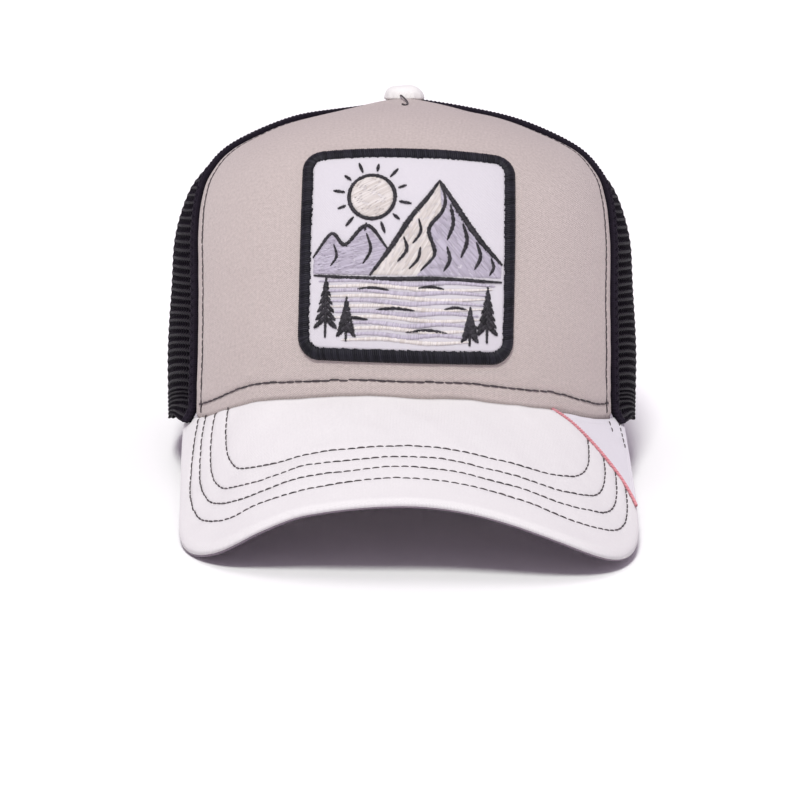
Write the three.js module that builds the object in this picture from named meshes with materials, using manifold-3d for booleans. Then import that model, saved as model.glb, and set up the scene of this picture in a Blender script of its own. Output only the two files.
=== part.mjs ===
// A trucker cap: foam-backed front panel with a square patch, net sides and back, a curved peak.
// Millimetres, +Z up, front towards -Y, +X to the right as seen from the front. The pieces are
// modelled on a crown that stands level, and the whole cap is then tipped back the way it rests
// by itself, on the two tips of the peak and on the strap at the back.
// A bearing is an angle round the crown: 0 straight ahead, positive towards +X, PI at the back.
// A level counts the crown's sections: 0 is the rim and TOP_LEVEL the hole under the button.
import * as THREE from 'three';
import { mergeVertices } from 'three/addons/utils/BufferGeometryUtils.js';
import Module from 'manifold-3d';

const GAP = 0.3;

// Reach of each section from the middle to the front, back and side, its height at those three
// places, and the bearing of the seam between front panel and net, in degrees.
const SECTIONS = [
  { front: 98.0, back: 104.0, side: 85.8, zFront: 0.0, zBack: 0.0, zSide: 0.0, seam: 58.5 },
  { front: 97.0, back: 104.0, side: 86.0, zFront: 24.0, zBack: 22.0, zSide: 24.0, seam: 57.5 },
  { front: 94.5, back: 102.0, side: 84.6, zFront: 45.5, zBack: 41.0, zSide: 45.5, seam: 59.0 },
  { front: 90.0, back: 97.0, side: 83.4, zFront: 65.0, zBack: 58.0, zSide: 62.5, seam: 61.0 },
  { front: 83.5, back: 88.0, side: 79.2, zFront: 81.6, zBack: 74.0, zSide: 77.2, seam: 65.5 },
  { front: 74.5, back: 74.0, side: 73.6, zFront: 94.3, zBack: 87.5, zSide: 86.2, seam: 69.3 },
  { front: 61.0, back: 57.0, side: 64.0, zFront: 103.0, zBack: 97.5, zSide: 94.9, seam: 71.5 },
  { front: 43.0, back: 38.0, side: 44.5, zFront: 108.7, zBack: 104.5, zSide: 103.8, seam: 73.0 },
  { front: 22.0, back: 19.0, side: 24.0, zFront: 111.3, zBack: 109.4, zSide: 108.8, seam: 76.0 },
  { front: 0.0, back: 0.0, side: 0.0, zFront: 112.7, zBack: 112.7, zSide: 112.7, seam: 80.0 },
];
const TOP_LEVEL = 8.85;
const PANEL_ROWS = 17;
// The walls end below the highest wall level, and the top begins above the lowest top level.
const HIGHEST_WALL_LEVEL = 5;
const LOWEST_TOP_LEVEL = 6;
const FRONT_SQUARENESS = 2.18;
const BACK_SQUARENESS = 2.1;
const SIDE_SEAM = THREE.MathUtils.degToRad(118);

// The rim follows the peak at the front and dips over the ears. Its waves fade out higher up.
const RIM = { earDip: 5.2, earBearing: 95, earSpread: 35, blend: 35, fadeLevel: 2.6 };

// The front panel is cloth on foam and reaches down behind the peak by its lip.
const FRONT = { thickness: 3.0, lip: 3.4, columns: 20 };
const NET = { thickness: 1.2, sideColumns: 8, backColumns: 5 };

// The peak slopes down from the middle of the front rim and bends down towards its sides.
const PEAK = {
  seamHeight: 12.0, pitch: 25.7, drop: 35.1, dropAt: 78.9, dropPower: 2.15,
  twist: 0.032, twistEnd: 75.0, twistFade: 0.8,
  reach: 61.8, halfWidth: 79.6, rightPowers: [3.4, 2.7], leftPowers: [2.3, 2.25],
  cornerBearing: 61.5, cornerReach: 2.5, sideSteps: 12, frontSteps: 36,
  thickness: 2.2, underside: 1.0, rolledEdge: 0.6, columns: 42,
};
// Where the peak meets the crown it lies lower in the middle and higher halfway to each corner.
const SEAT = { dip: 1.0, dipWidth: 16.0, rise: 1.35, riseAt: 55.0, riseWidth: 14.0, reach: 35.0 };
// Both tips hang down a little further than the even bend of the peak, the left one more.
const TIPS = { left: 2.6, right: 0.8, from: 50.0, to: 74.0, leftEdge: 2.6, edgeFrom: 46.0, edgeTo: 68.0 };
const PEAK_ROWS = [0, 0.2, 0.4, 0.6, 0.8, 0.96, 1];
const UNDERSIDE_ROWS = [0, 0.25, 0.5, 0.75, 1];

// The corner of the peak is a piece of its own behind a curved line of piping. The three plan
// points (x, forward) steer that curve from the crown to the edge of the peak.
const PIPING = {
  start: [51.0, 81.5], bend: [73.5, 80.0], end: [79.4, 102.0],
  radius: 0.8, sides: 8, steps: 14, from: 0.07, to: 0.97,
};
const TAB = { thickness: 1.0, edgeInset: 0.6 };
const POCKET_MARGIN = 3.0;
const CORNER_PRISM = { reach: 20.0, height: 160.0 };

// Beside the front seam the edge of the net is folded into a ribbed strip.
const FOLD = { width: 3.0, height: 1.5, bevel: 0.5, startHeight: 1.6 };

const BUTTON = {
  radius: 7.2, height: 5.6, wall: 1.0, roundness: 0.7,
  shankRadius: 2.2, shankLength: 4.0, segments: 24, rows: 7,
};

// The patch is sewn on the front panel, a little askew.
const PATCH = {
  half: 38.8, corner: 8.0, middleAcross: 0.5, middleClimb: 50.7, turn: 1.3, droop: 1.3,
  field: 1.0, borderWidth: 3.8, borderHeight: 2.0, borderFullness: 0.8,
  columns: 8, sideSteps: 6, cornerSteps: 4, borderSteps: 6,
};

// At the back an arch is cut out of the net, bound with tape and closed by a plastic strap.
const ARCH = { halfWidth: 47.0, height: 52.0, squareness: 2.1, steps: 9 };
const BINDING = { width: 5.0, proud: 0.6, depth: 1.8, bevel: 0.4 };
const STRAP = { height: 17.0, thickness: 1.5, overlapBearing: 8.5, steps: 18 };

// The sweatband lies inside the rim and ends beside the arch, in front of the strap's ends.
const SWEATBAND = { height: 32.0, thickness: 1.5, lift: 1.0, endBearing: 148.0, steps: 44 };
const BAND_EASE = { frontFrom: 60, frontTo: 74, backFrom: 126, backTo: 140 };

const SOLVER_STEPS = 40;
const STEEPEST_TILT = 25;

const { degToRad, lerp, smoothstep } = THREE.MathUtils;

const signedPower = (value, power) => Math.sign(value) * Math.abs(value) ** power;

// Value of one column of SECTIONS at any level, on a smooth curve through its rows.
function section(column, level) {
  const last = SECTIONS.length - 1;
  const row = Math.min(Math.floor(level), last - 1);
  const t = level - row;
  const b = SECTIONS[row][column];
  const c = SECTIONS[row + 1][column];
  const a = row > 0 ? SECTIONS[row - 1][column] : 2 * b - c;
  const d = row + 1 < last ? SECTIONS[row + 2][column] : 2 * c - b;
  const bend = (2 * a - 5 * b + 4 * c - d) * t * t + (3 * b - a - 3 * c + d) * t ** 3;
  return 0.5 * (2 * b + (c - a) * t + bend);
}

// Plan position on a level section of the crown.
function ringPoint(bearing, level) {
  const ahead = Math.cos(bearing) > 0;
  const power = 2 / (ahead ? FRONT_SQUARENESS : BACK_SQUARENESS);
  const reach = section(ahead ? 'front' : 'back', level);
  const x = section('side', level) * signedPower(Math.sin(bearing), power);
  const y = -reach * signedPower(Math.cos(bearing), power);
  return new THREE.Vector2(x, y);
}

const bump = (distance, width) => Math.exp(-((distance / width) ** 2));

// Distance ahead of the middle at which the rim passes a place beside it.
function rootForward(x) {
  const beside = Math.min((Math.abs(x) / SECTIONS[0].side) ** FRONT_SQUARENESS, 1);
  return SECTIONS[0].front * (1 - beside) ** (1 / FRONT_SQUARENESS);
}

// Height of the peak's top at a plan place, forward being the distance ahead of the middle.
function peakHeight(x, forward) {
  const side = Math.abs(x);
  const sideDrop = PEAK.drop * (side / PEAK.dropAt) ** PEAK.dropPower;
  const seat = SEAT.rise * bump(side - SEAT.riseAt, SEAT.riseWidth) - SEAT.dip * bump(x, SEAT.dipWidth);
  const nearRoot = 1 - smoothstep(forward - rootForward(x), 0, SEAT.reach);
  const twist = PEAK.twist * x * (1 - PEAK.twistFade * (side / PEAK.twistEnd) ** 4) * (x < 0 ? nearRoot : 1);
  const leftEdge = TIPS.leftEdge * smoothstep(-x, TIPS.edgeFrom, TIPS.edgeTo) * (1 - nearRoot);
  const tip = (x < 0 ? TIPS.left : TIPS.right) * smoothstep(side, TIPS.from, TIPS.to) + leftEdge;
  const slope = Math.tan(degToRad(PEAK.pitch)) * (forward - SECTIONS[0].front);
  return PEAK.seamHeight - slope - sideDrop - tip - twist + seat * nearRoot;
}

function rimHeight(bearing) {
  const turn = Math.abs(bearing);
  const corner = degToRad(PEAK.cornerBearing);
  const place = ringPoint(THREE.MathUtils.clamp(bearing, -corner, corner), 0);
  const atPeak = peakHeight(place.x, -place.y);
  if (turn <= corner) return atPeak;
  const away = smoothstep(turn, corner, corner + degToRad(RIM.blend));
  const fromEar = (turn - degToRad(RIM.earBearing)) / degToRad(RIM.earSpread);
  return lerp(atPeak, -RIM.earDip * Math.exp(-fromEar * fromEar), away);
}

function crownPoint(bearing, level) {
  const place = ringPoint(bearing, level);
  const facing = Math.cos(bearing) ** 2;
  const end = section(Math.cos(bearing) > 0 ? 'zFront' : 'zBack', level);
  const height = lerp(section('zSide', level), end, facing);
  return new THREE.Vector3(place.x, place.y, height + rimHeight(bearing) * waveShare(level));
}

// Share of the rim's waves that is left at a level.
function waveShare(level) {
  return 1 - smoothstep(level, 0, RIM.fadeLevel);
}

function crownNormal(bearing, level) {
  const step = 0.01;
  const round = crownPoint(bearing + step, level).sub(crownPoint(bearing - step, level));
  const lower = Math.max(level - step, 0);
  const climb = crownPoint(bearing, level + step).sub(crownPoint(bearing, lower));
  return round.cross(climb).normalize();
}

// Point at a distance outside (positive) or inside (negative) the crown's outer face.
function onCrown(bearing, level, out) {
  return crownPoint(bearing, level).addScaledVector(crownNormal(bearing, level), out);
}

// Bearing reached by going a distance round the crown on one level.
function walk(bearing, level, distance) {
  const steps = 8;
  const reach = 0.01;
  let at = bearing;
  for (let k = 0; k < steps; k += 1) {
    const speed = crownPoint(at + reach, level).distanceTo(crownPoint(at - reach, level)) / (2 * reach);
    at += distance / steps / speed;
  }
  return at;
}

// Argument between low and high at which a rising function reaches a target.
function solve(rising, target, low, high) {
  let [a, b] = [low, high];
  for (let k = 0; k < SOLVER_STEPS; k += 1) {
    const middle = (a + b) / 2;
    if (rising(middle) < target) a = middle;
    else b = middle;
  }
  return (a + b) / 2;
}

// Level that lies a given height above the rim at a bearing.
function levelAbove(bearing, height) {
  const foot = crownPoint(bearing, 0).z;
  return solve((level) => crownPoint(bearing, level).z - foot, height, 0, HIGHEST_WALL_LEVEL);
}

// Level on which the crown's outer face lies a given distance from the button's axis.
function levelAtRadius(bearing, radius) {
  const nearness = (level) => -ringPoint(bearing, level).length();
  return solve(nearness, -radius, LOWEST_TOP_LEVEL, SECTIONS.length - 1);
}

const seamBearing = (level) => degToRad(section('seam', level));

const spread = (count, from, to) => Array.from({ length: count + 1 }, (_, k) => lerp(from, to, k / count));

// Closed body through a row of closed sections of equal length. The first point of a section
// faces its last one, so each end is closed by strips, unless the row of sections is a ring.
function loft(sections, ring = false) {
  const size = sections[0].length;
  const positions = sections.flat().flatMap((point) => point.toArray());
  const index = [];
  const quad = (a, b, c, d) => index.push(a, b, c, a, c, d);
  const spans = ring ? sections.length : sections.length - 1;
  for (let k = 0; k < spans; k += 1) {
    const here = k * size;
    const next = ((k + 1) % sections.length) * size;
    for (let i = 0; i < size; i += 1) {
      const j = (i + 1) % size;
      quad(here + i, here + j, next + j, next + i);
    }
  }
  for (let i = 0; !ring && i < size / 2 - 1; i += 1) {
    const end = (sections.length - 1) * size;
    const facing = size - 1 - i;
    quad(i, facing, facing - 1, i + 1);
    quad(end + i, end + i + 1, end + facing - 1, end + facing);
  }
  const geometry = new THREE.BufferGeometry();
  geometry.setAttribute('position', new THREE.Float32BufferAttribute(positions, 3));
  geometry.setIndex(volumeOf(positions, index) < 0 ? index.reverse() : index);
  return geometry;
}

function volumeOf(positions, index) {
  const corner = (k) => new THREE.Vector3().fromArray(positions, index[k] * 3);
  let volume = 0;
  for (let k = 0; k < index.length; k += 3) {
    volume += corner(k).dot(corner(k + 1).cross(corner(k + 2))) / 6;
  }
  return volume;
}

// Wall of even thickness whose outer face runs through rows of crown places.
function crownWall(rows, thickness, lip = 0) {
  const sections = rows.map((row) => {
    const outer = row.map(([bearing, level]) => onCrown(bearing, level, 0));
    const inner = row.map(([bearing, level]) => onCrown(bearing, level, -thickness));
    return [...outer, ...inner.reverse()];
  });
  if (lip > 0) {
    const lowered = sections[0].map((point) => point.clone().setZ(point.z - lip));
    sections.unshift(lowered);
  }
  return loft(sections);
}

function frontPanel() {
  const rows = spread(PANEL_ROWS, 0, TOP_LEVEL).map((level) => {
    const edge = walk(seamBearing(level), level, -GAP / 2);
    return spread(FRONT.columns, -edge, edge).map((bearing) => [bearing, level]);
  });
  return crownWall(rows, FRONT.thickness, FRONT.lip);
}

function netSide(side) {
  const rows = spread(PANEL_ROWS, 0, TOP_LEVEL).map((level) => {
    const from = walk(seamBearing(level), level, GAP / 2);
    const to = walk(SIDE_SEAM, level, -GAP / 2);
    return spread(NET.sideColumns, from, to).map((bearing) => [side * bearing, level]);
  });
  return crownWall(rows, NET.thickness);
}

// Place on the crown of a point of the arch, turn going from 0 at the rim to 1 at its top. The
// inset moves the point into the opening.
function archPlace(turn, inset) {
  const power = 2 / ARCH.squareness;
  const angle = turn * Math.PI / 2;
  const across = ARCH.halfWidth * Math.cos(angle) ** power;
  const up = ARCH.height * Math.sin(angle) ** power;
  const outward = new THREE.Vector2(
    across ** (ARCH.squareness - 1) / ARCH.halfWidth ** ARCH.squareness,
    up ** (ARCH.squareness - 1) / ARCH.height ** ARCH.squareness,
  ).normalize();
  const level = levelAbove(Math.PI, Math.max(up - inset * outward.y, 0));
  return [walk(Math.PI, level, inset * outward.x - across), level];
}

// The net behind the side seam is cut away under the arch and ends at the middle of the back.
function netBack(side) {
  const beside = spread(NET.backColumns, SIDE_SEAM, archPlace(0, 0)[0]).map((bearing) => [bearing, 0]);
  const under = spread(ARCH.steps, 0, 1).slice(1).map((turn) => archPlace(turn, 0));
  const feet = [...beside, ...under];
  const sections = spread(PANEL_ROWS, 0, 1).map((share) => {
    const row = feet.map(([bearing, foot], column) => {
      const level = lerp(foot, TOP_LEVEL, share);
      return column === 0 ? [walk(SIDE_SEAM, level, GAP / 2), level] : [bearing, level];
    });
    const face = (out) => row.map(([bearing, level]) => {
      const point = onCrown(Math.min(bearing, Math.PI), level, out);
      return point.setX(side * Math.max(point.x, GAP / 2));
    });
    return [...face(0), ...face(-NET.thickness).reverse()];
  });
  return loft(sections);
}

function seamFold(side) {
  const { width, height, bevel } = FOLD;
  const outline = [
    [0, 0], [0, height - bevel], [bevel, height],
    [width - bevel, height], [width, height - bevel], [width, 0],
  ];
  const start = levelAbove(seamBearing(0), FOLD.startHeight);
  const end = levelAtRadius(seamBearing(TOP_LEVEL), BUTTON.radius + 2 * GAP);
  const sections = spread(PANEL_ROWS + 2, start, end).map((level) => outline.map(([across, up]) => {
    const bearing = walk(seamBearing(level), level, across);
    return onCrown(side * bearing, level, GAP + up);
  }));
  return loft(sections);
}

function button() {
  const around = spread(BUTTON.segments / 2, 0, Math.PI).map((bearing) => {
    return crownPoint(bearing, levelAtRadius(bearing, BUTTON.radius)).z;
  });
  const foot = Math.max(...around) + GAP;
  const seat = SECTIONS.at(-1).zFront + GAP;
  const dome = spread(BUTTON.rows, 0, Math.PI / 2).map((turn) => new THREE.Vector2(
    BUTTON.radius * Math.cos(turn) ** BUTTON.roundness,
    foot + BUTTON.wall + (BUTTON.height - BUTTON.wall) * Math.sin(turn),
  ));
  dome[dome.length - 1].x = 0;
  const profile = [
    new THREE.Vector2(0, seat - BUTTON.shankLength),
    new THREE.Vector2(BUTTON.shankRadius, seat - BUTTON.shankLength),
    new THREE.Vector2(BUTTON.shankRadius, seat),
    new THREE.Vector2(BUTTON.radius, foot),
    ...dome,
  ];
  return new THREE.LatheGeometry(profile, BUTTON.segments).rotateX(Math.PI / 2);
}

// Point on or under the peak's top at a plan place, depth being measured square to the surface.
function onPeak(place, depth) {
  const step = 0.5;
  const { x, y: forward } = place;
  const acrossSlope = (peakHeight(x + step, forward) - peakHeight(x - step, forward)) / (2 * step);
  const aheadSlope = (peakHeight(x, forward + step) - peakHeight(x, forward - step)) / (2 * step);
  const steepness = Math.hypot(1, acrossSlope, aheadSlope);
  return new THREE.Vector3(x, -forward, peakHeight(x, forward) - depth * steepness);
}

// Plan place (x, forward) at a distance outside the rim.
function rimPlace(bearing, out) {
  const step = 0.01;
  const along = ringPoint(bearing + step, 0).sub(ringPoint(bearing - step, 0)).normalize();
  const place = ringPoint(bearing, 0);
  return new THREE.Vector2(place.x + out * along.y, out * along.x - place.y);
}

// Outer edge of the peak in plan, from its +X corner at the crown round the front to the other.
function peakEdge() {
  const start = rimPlace(degToRad(PEAK.cornerBearing), 0);
  const front = SECTIONS[0].front;
  const side = spread(PEAK.sideSteps, 0, 1).map((share) => new THREE.Vector3(
    lerp(start.x + PEAK.cornerReach, PEAK.halfWidth, Math.sin(share * Math.PI / 2)),
    lerp(start.y, front, share),
  ));
  const half = ([sidePower, frontPower]) => {
    const nose = spread(PEAK.frontSteps, Math.PI / 2, 0).slice(1).map((turn) => new THREE.Vector3(
      PEAK.halfWidth * Math.sin(turn) ** (2 / sidePower),
      front + PEAK.reach * Math.cos(turn) ** (2 / frontPower),
    ));
    return [...side, ...nose];
  };
  const right = half(PEAK.rightPowers);
  const left = half(PEAK.leftPowers).slice(0, -1).map((point) => new THREE.Vector3(-point.x, point.y));
  return new THREE.CatmullRomCurve3([...right, ...left.reverse()], false, 'centripetal');
}

// Ribs of plan places from the crown to the peak's outer edge. A margin widens them past both.
function peakRibs(rows, rootMargin = 0, tipMargin = 0) {
  const edge = peakEdge();
  const corner = degToRad(PEAK.cornerBearing);
  return spread(PEAK.columns, 0, 1).map((share) => {
    const root = rimPlace(lerp(corner, -corner, share), GAP);
    const end = edge.getPointAt(share);
    const tip = new THREE.Vector2(end.x, end.y);
    const along = tip.clone().sub(root).normalize();
    root.addScaledVector(along, -rootMargin);
    tip.addScaledVector(along, tipMargin);
    return rows.map((row) => root.clone().lerp(tip, row));
  });
}

// Closed layer of the peak between two depths, the top of its outer edge rolled down a little.
function peakLayer(ribs, topDepth, bottomDepth, roll = 0) {
  return loft(ribs.map((rib) => {
    const top = rib.map((place, row) => onPeak(place, topDepth + (row === rib.length - 1 ? roll : 0)));
    const bottom = rib.map((place) => onPeak(place, bottomDepth));
    return [...top, ...bottom.reverse()];
  }));
}

const pipingLine = new THREE.QuadraticBezierCurve(
  new THREE.Vector2(...PIPING.start),
  new THREE.Vector2(...PIPING.bend),
  new THREE.Vector2(...PIPING.end),
);

// Upright prism over the corner of the peak, from a distance beside the piping outwards.
function cornerPrism(distance) {
  const { reach, height } = CORNER_PRISM;
  const line = spread(PIPING.steps, 0, 1).map((share) => {
    const tangent = pipingLine.getTangent(share);
    const outward = new THREE.Vector2(tangent.y, -tangent.x);
    return pipingLine.getPoint(share).addScaledVector(outward, distance);
  });
  const before = line[0].clone().addScaledVector(pipingLine.getTangent(0), -reach);
  const after = line.at(-1).clone().addScaledVector(pipingLine.getTangent(1), reach);
  const farSide = PEAK.halfWidth + reach;
  const corners = [[farSide, after.y], [farSide, 0], [before.x, 0]];
  const around = corners.map((place) => new THREE.Vector2(...place));
  const plan = [before, ...line, after, ...around].map((place) => new THREE.Vector2(place.x, -place.y));
  const prism = new THREE.ExtrudeGeometry(new THREE.Shape(plan), { depth: height, bevelEnabled: false });
  return prism.translate(0, 0, -height / 2);
}

function peak() {
  const body = solid(peakLayer(peakRibs(PEAK_ROWS), 0, PEAK.thickness, PEAK.rolledEdge));
  const ribs = peakRibs(PEAK_ROWS, POCKET_MARGIN, POCKET_MARGIN);
  const behind = ribs[0].map((place) => place.clone().setY(place.y - POCKET_MARGIN));
  const layer = peakLayer([behind, ...ribs], -POCKET_MARGIN, TAB.thickness + GAP);
  const pocket = solid(layer).intersect(solid(cornerPrism(-PIPING.radius - GAP)));
  return geometryOf(body.subtract(pocket));
}

function cornerTab() {
  const ribs = peakRibs(PEAK_ROWS, 0, -TAB.edgeInset);
  const layer = solid(peakLayer(ribs, 0, TAB.thickness, PEAK.rolledEdge));
  return geometryOf(layer.intersect(solid(cornerPrism(PIPING.radius + GAP))));
}

function cornerPiping() {
  const depth = TAB.thickness - PIPING.radius;
  const sections = spread(PIPING.steps, PIPING.from, PIPING.to).map((share) => {
    const place = pipingLine.getPoint(share);
    const tangent = pipingLine.getTangent(share);
    const side = new THREE.Vector2(tangent.y, -tangent.x);
    const centre = onPeak(place, depth);
    const up = onPeak(place, depth - 1).sub(onPeak(place, depth)).normalize();
    const beside = onPeak(place.clone().add(side), depth).sub(centre).normalize();
    return spread(PIPING.sides, 0, 2 * Math.PI).slice(1).map((turn) => centre.clone()
      .addScaledVector(beside, PIPING.radius * Math.cos(turn))
      .addScaledVector(up, PIPING.radius * Math.sin(turn)));
  });
  return loft(sections);
}

function peakUnderside() {
  const top = PEAK.thickness + GAP;
  return peakLayer(peakRibs(UNDERSIDE_ROWS), top, top + PEAK.underside);
}

// Level at which the middle of the front panel has been climbed for a distance from the rim.
function frontLevel(climb) {
  const step = 0.05;
  let level = 0;
  let left = climb;
  let here = crownPoint(0, 0);
  while (left > 0) {
    const next = crownPoint(0, level + step);
    const length = next.distanceTo(here);
    level += step * Math.min(left / length, 1);
    left -= length;
    here = next;
  }
  return level;
}

// Point on the front panel from a place on the patch, measured from the patch's middle. Rows of
// the patch stay straight where the crown's own levels bend down with the rim, and droop a little
// at the ends of its upper edge.
function onPatch(across, up, out) {
  const droop = PATCH.droop * (across / PATCH.half) ** 2 * smoothstep(up, -PATCH.half, PATCH.half);
  const middle = new THREE.Vector2();
  const place = new THREE.Vector2(across, up - droop).rotateAround(middle, degToRad(-PATCH.turn));
  const level = frontLevel(PATCH.middleClimb + place.y);
  const bearing = walk(0, level, PATCH.middleAcross + place.x);
  const sag = (rimHeight(0) - rimHeight(bearing)) * waveShare(level);
  const height = crownPoint(bearing, level).z + sag;
  return onCrown(bearing, solve((trial) => crownPoint(bearing, trial).z, height, 0, TOP_LEVEL), out);
}

// The patch's middle is a plate of straight rows that get shorter in its round corners.
function patchField() {
  const inset = PATCH.borderWidth + GAP;
  const half = PATCH.half - inset;
  const corner = PATCH.corner - inset;
  const straight = half - corner;
  const arc = spread(PATCH.cornerSteps, 0, Math.PI / 2);
  const upper = arc.map((turn) => [Math.sin(turn), Math.cos(turn)].map((reach) => straight + corner * reach));
  const middle = spread(PATCH.sideSteps, straight, -straight).slice(1, -1).map((up) => [half, up]);
  const lower = upper.map(([width, up]) => [width, -up]).reverse();
  return loft([...upper, ...middle, ...lower].map(([width, up]) => {
    const row = spread(PATCH.columns, -width, width);
    const face = (out) => row.map((across) => onPatch(across, up, out));
    return [...face(GAP + PATCH.field), ...face(GAP).reverse()];
  }));
}

// The patch's border is a rounded bead all round its outline.
function patchBorder() {
  const straight = PATCH.half - PATCH.corner;
  const bead = spread(PATCH.borderSteps, 0, Math.PI);
  const places = [0, 1, 2, 3].flatMap((quarter) => {
    const turn = quarter * Math.PI / 2;
    const corner = spread(PATCH.cornerSteps, 0, Math.PI / 2).map((bend) => [straight, straight, bend]);
    const side = spread(PATCH.sideSteps, straight, -straight).slice(1, -1);
    const edge = side.map((along) => [along, straight, Math.PI / 2]);
    return [...corner, ...edge].map(([x, y, bend]) => [new THREE.Vector2(x, y), bend, turn]);
  });
  return loft(places.map(([centre, bend, turn]) => bead.map((lean) => {
    const inset = PATCH.borderWidth * (1 - Math.cos(lean)) / 2;
    const up = GAP + PATCH.borderHeight * Math.sin(lean) ** PATCH.borderFullness;
    const outward = new THREE.Vector2(Math.cos(bend), Math.sin(bend));
    const place = centre.clone().addScaledVector(outward, PATCH.corner - inset);
    place.rotateAround(new THREE.Vector2(), turn);
    return onPatch(place.x, place.y, Math.max(up, GAP));
  })), true);
}

// Distance inside the crown at which the sweatband lies: foam in front, net beside, strap behind.
function bandDepth(bearing) {
  const turn = THREE.MathUtils.radToDeg(Math.abs(bearing));
  const front = FRONT.thickness + GAP;
  const beside = NET.thickness + GAP;
  const behind = strapDepth() + STRAP.thickness + GAP;
  const leaving = smoothstep(turn, BAND_EASE.frontFrom, BAND_EASE.frontTo);
  const arriving = smoothstep(turn, BAND_EASE.backFrom, BAND_EASE.backTo);
  return lerp(lerp(front, beside, leaving), behind, arriving);
}

function strapDepth() {
  return BINDING.depth + GAP;
}

// Upright band inside the rim, swept along bearings between two heights above the rim.
function rimBand(bearings, depthAt, thickness, from, to) {
  return loft(bearings.map((bearing) => {
    const levels = spread(2, from, to).map((height) => levelAbove(bearing, height));
    const face = (depth) => levels.map((level) => onCrown(bearing, level, -depth));
    const depth = depthAt(bearing);
    return [...face(depth), ...face(depth + thickness).reverse()];
  }));
}

function sweatband() {
  const end = degToRad(SWEATBAND.endBearing);
  const bearings = spread(SWEATBAND.steps, -end, end);
  return rimBand(bearings, bandDepth, SWEATBAND.thickness, SWEATBAND.lift, SWEATBAND.lift + SWEATBAND.height);
}

function snapStrap() {
  const end = archPlace(0, 0)[0] - degToRad(STRAP.overlapBearing);
  const bearings = spread(STRAP.steps, end, 2 * Math.PI - end);
  return rimBand(bearings, strapDepth, STRAP.thickness, 0, STRAP.height);
}

// Tape round the edge of the arch, from the rim on one side over the top to the other side.
function archBinding() {
  const { width, proud, depth, bevel } = BINDING;
  const outline = [
    [0, -depth], [0, proud - bevel], [bevel, proud],
    [width - bevel, proud], [width, proud - bevel], [width, -depth],
  ];
  const half = spread(ARCH.steps, 0, 1).map((turn) => outline.map(([inset, out]) => {
    const [bearing, level] = archPlace(turn, GAP + inset);
    return onCrown(bearing, level, out);
  }));
  const mirrored = half.slice(0, -1).map((row) => row.map((point) => point.clone().setX(-point.x)));
  half.at(-1).forEach((point) => point.setX(0));
  return loft([...half, ...mirrored.reverse()]);
}

function solid(geometry) {
  const bare = geometry.clone();
  bare.deleteAttribute('normal');
  bare.deleteAttribute('uv');
  const merged = mergeVertices(bare, 1e-4);
  const vertProperties = new Float32Array(merged.attributes.position.array);
  const triVerts = new Uint32Array(merged.index.array);
  return new wasm.Manifold(new wasm.Mesh({ numProp: 3, vertProperties, triVerts }));
}

function geometryOf(manifold) {
  const { vertProperties, triVerts } = manifold.getMesh();
  const geometry = new THREE.BufferGeometry();
  geometry.setAttribute('position', new THREE.BufferAttribute(vertProperties, 3));
  geometry.setIndex(new THREE.BufferAttribute(triVerts, 1));
  return geometry;
}

function piece(name, geometry, color, roughness) {
  geometry.computeVertexNormals();
  const material = new THREE.MeshStandardMaterial({ color, roughness, metalness: 0 });
  const mesh = new THREE.Mesh(geometry, material);
  mesh.name = name;
  return mesh;
}

// Tilt about X at which the front and the back of the cap reach equally low.
function restTilt(cap) {
  const points = cap.children.flatMap((mesh) => {
    const { array } = mesh.geometry.attributes.position;
    return Array.from({ length: array.length / 3 }, (_, k) => new THREE.Vector3().fromArray(array, 3 * k));
  });
  const lowest = (side, tilt) => Math.min(...points.filter((point) => point.y * side > 0).map((point) => (
    point.z * Math.cos(tilt) - point.y * Math.sin(tilt)
  )));
  return solve((tilt) => lowest(-1, tilt) - lowest(1, tilt), 0, 0, degToRad(STEEPEST_TILT));
}

const GREIGE = 0xcdc1bc;
const NIGHT = 0x17151a;
const DUSK = 0x857a85;
const OFF_WHITE = 0xefe9ec;
const PALE = 0xf0edf4;
const ROSE = 0xd9626c;

const wasm = await Module();
wasm.setup();

const cap = new THREE.Group();
cap.add(
  piece('front_panel', frontPanel(), GREIGE, 0.9),
  piece('button', button(), OFF_WHITE, 0.85),
  piece('peak', peak(), OFF_WHITE, 0.9),
  piece('peak_underside', peakUnderside(), DUSK, 0.9),
  piece('corner_tab', cornerTab(), PALE, 0.85),
  piece('corner_piping', cornerPiping(), ROSE, 0.8),
  piece('patch_field', patchField(), PALE, 0.8),
  piece('patch_border', patchBorder(), NIGHT, 0.7),
  piece('sweatband', sweatband(), NIGHT, 0.95),
  piece('arch_binding', archBinding(), NIGHT, 0.9),
  piece('snap_strap', snapStrap(), NIGHT, 0.45),
);
for (const [name, side] of [['left', -1], ['right', 1]]) {
  cap.add(
    piece(`mesh_side_${name}`, netSide(side), NIGHT, 0.7),
    piece(`mesh_back_${name}`, netBack(side), NIGHT, 0.7),
    piece(`seam_fold_${name}`, seamFold(side), NIGHT, 0.75),
  );
}
cap.rotation.x = -restTilt(cap);

const hat = new THREE.Group();
hat.add(cap);
hat.updateMatrixWorld(true);
const box = new THREE.Box3().setFromObject(hat, true);
cap.position.set(-(box.min.x + box.max.x) / 2, -(box.min.y + box.max.y) / 2, -box.min.z);

export default hat;
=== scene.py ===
import math

import bpy
import numpy as np
from mathutils import Matrix, Vector


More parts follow.
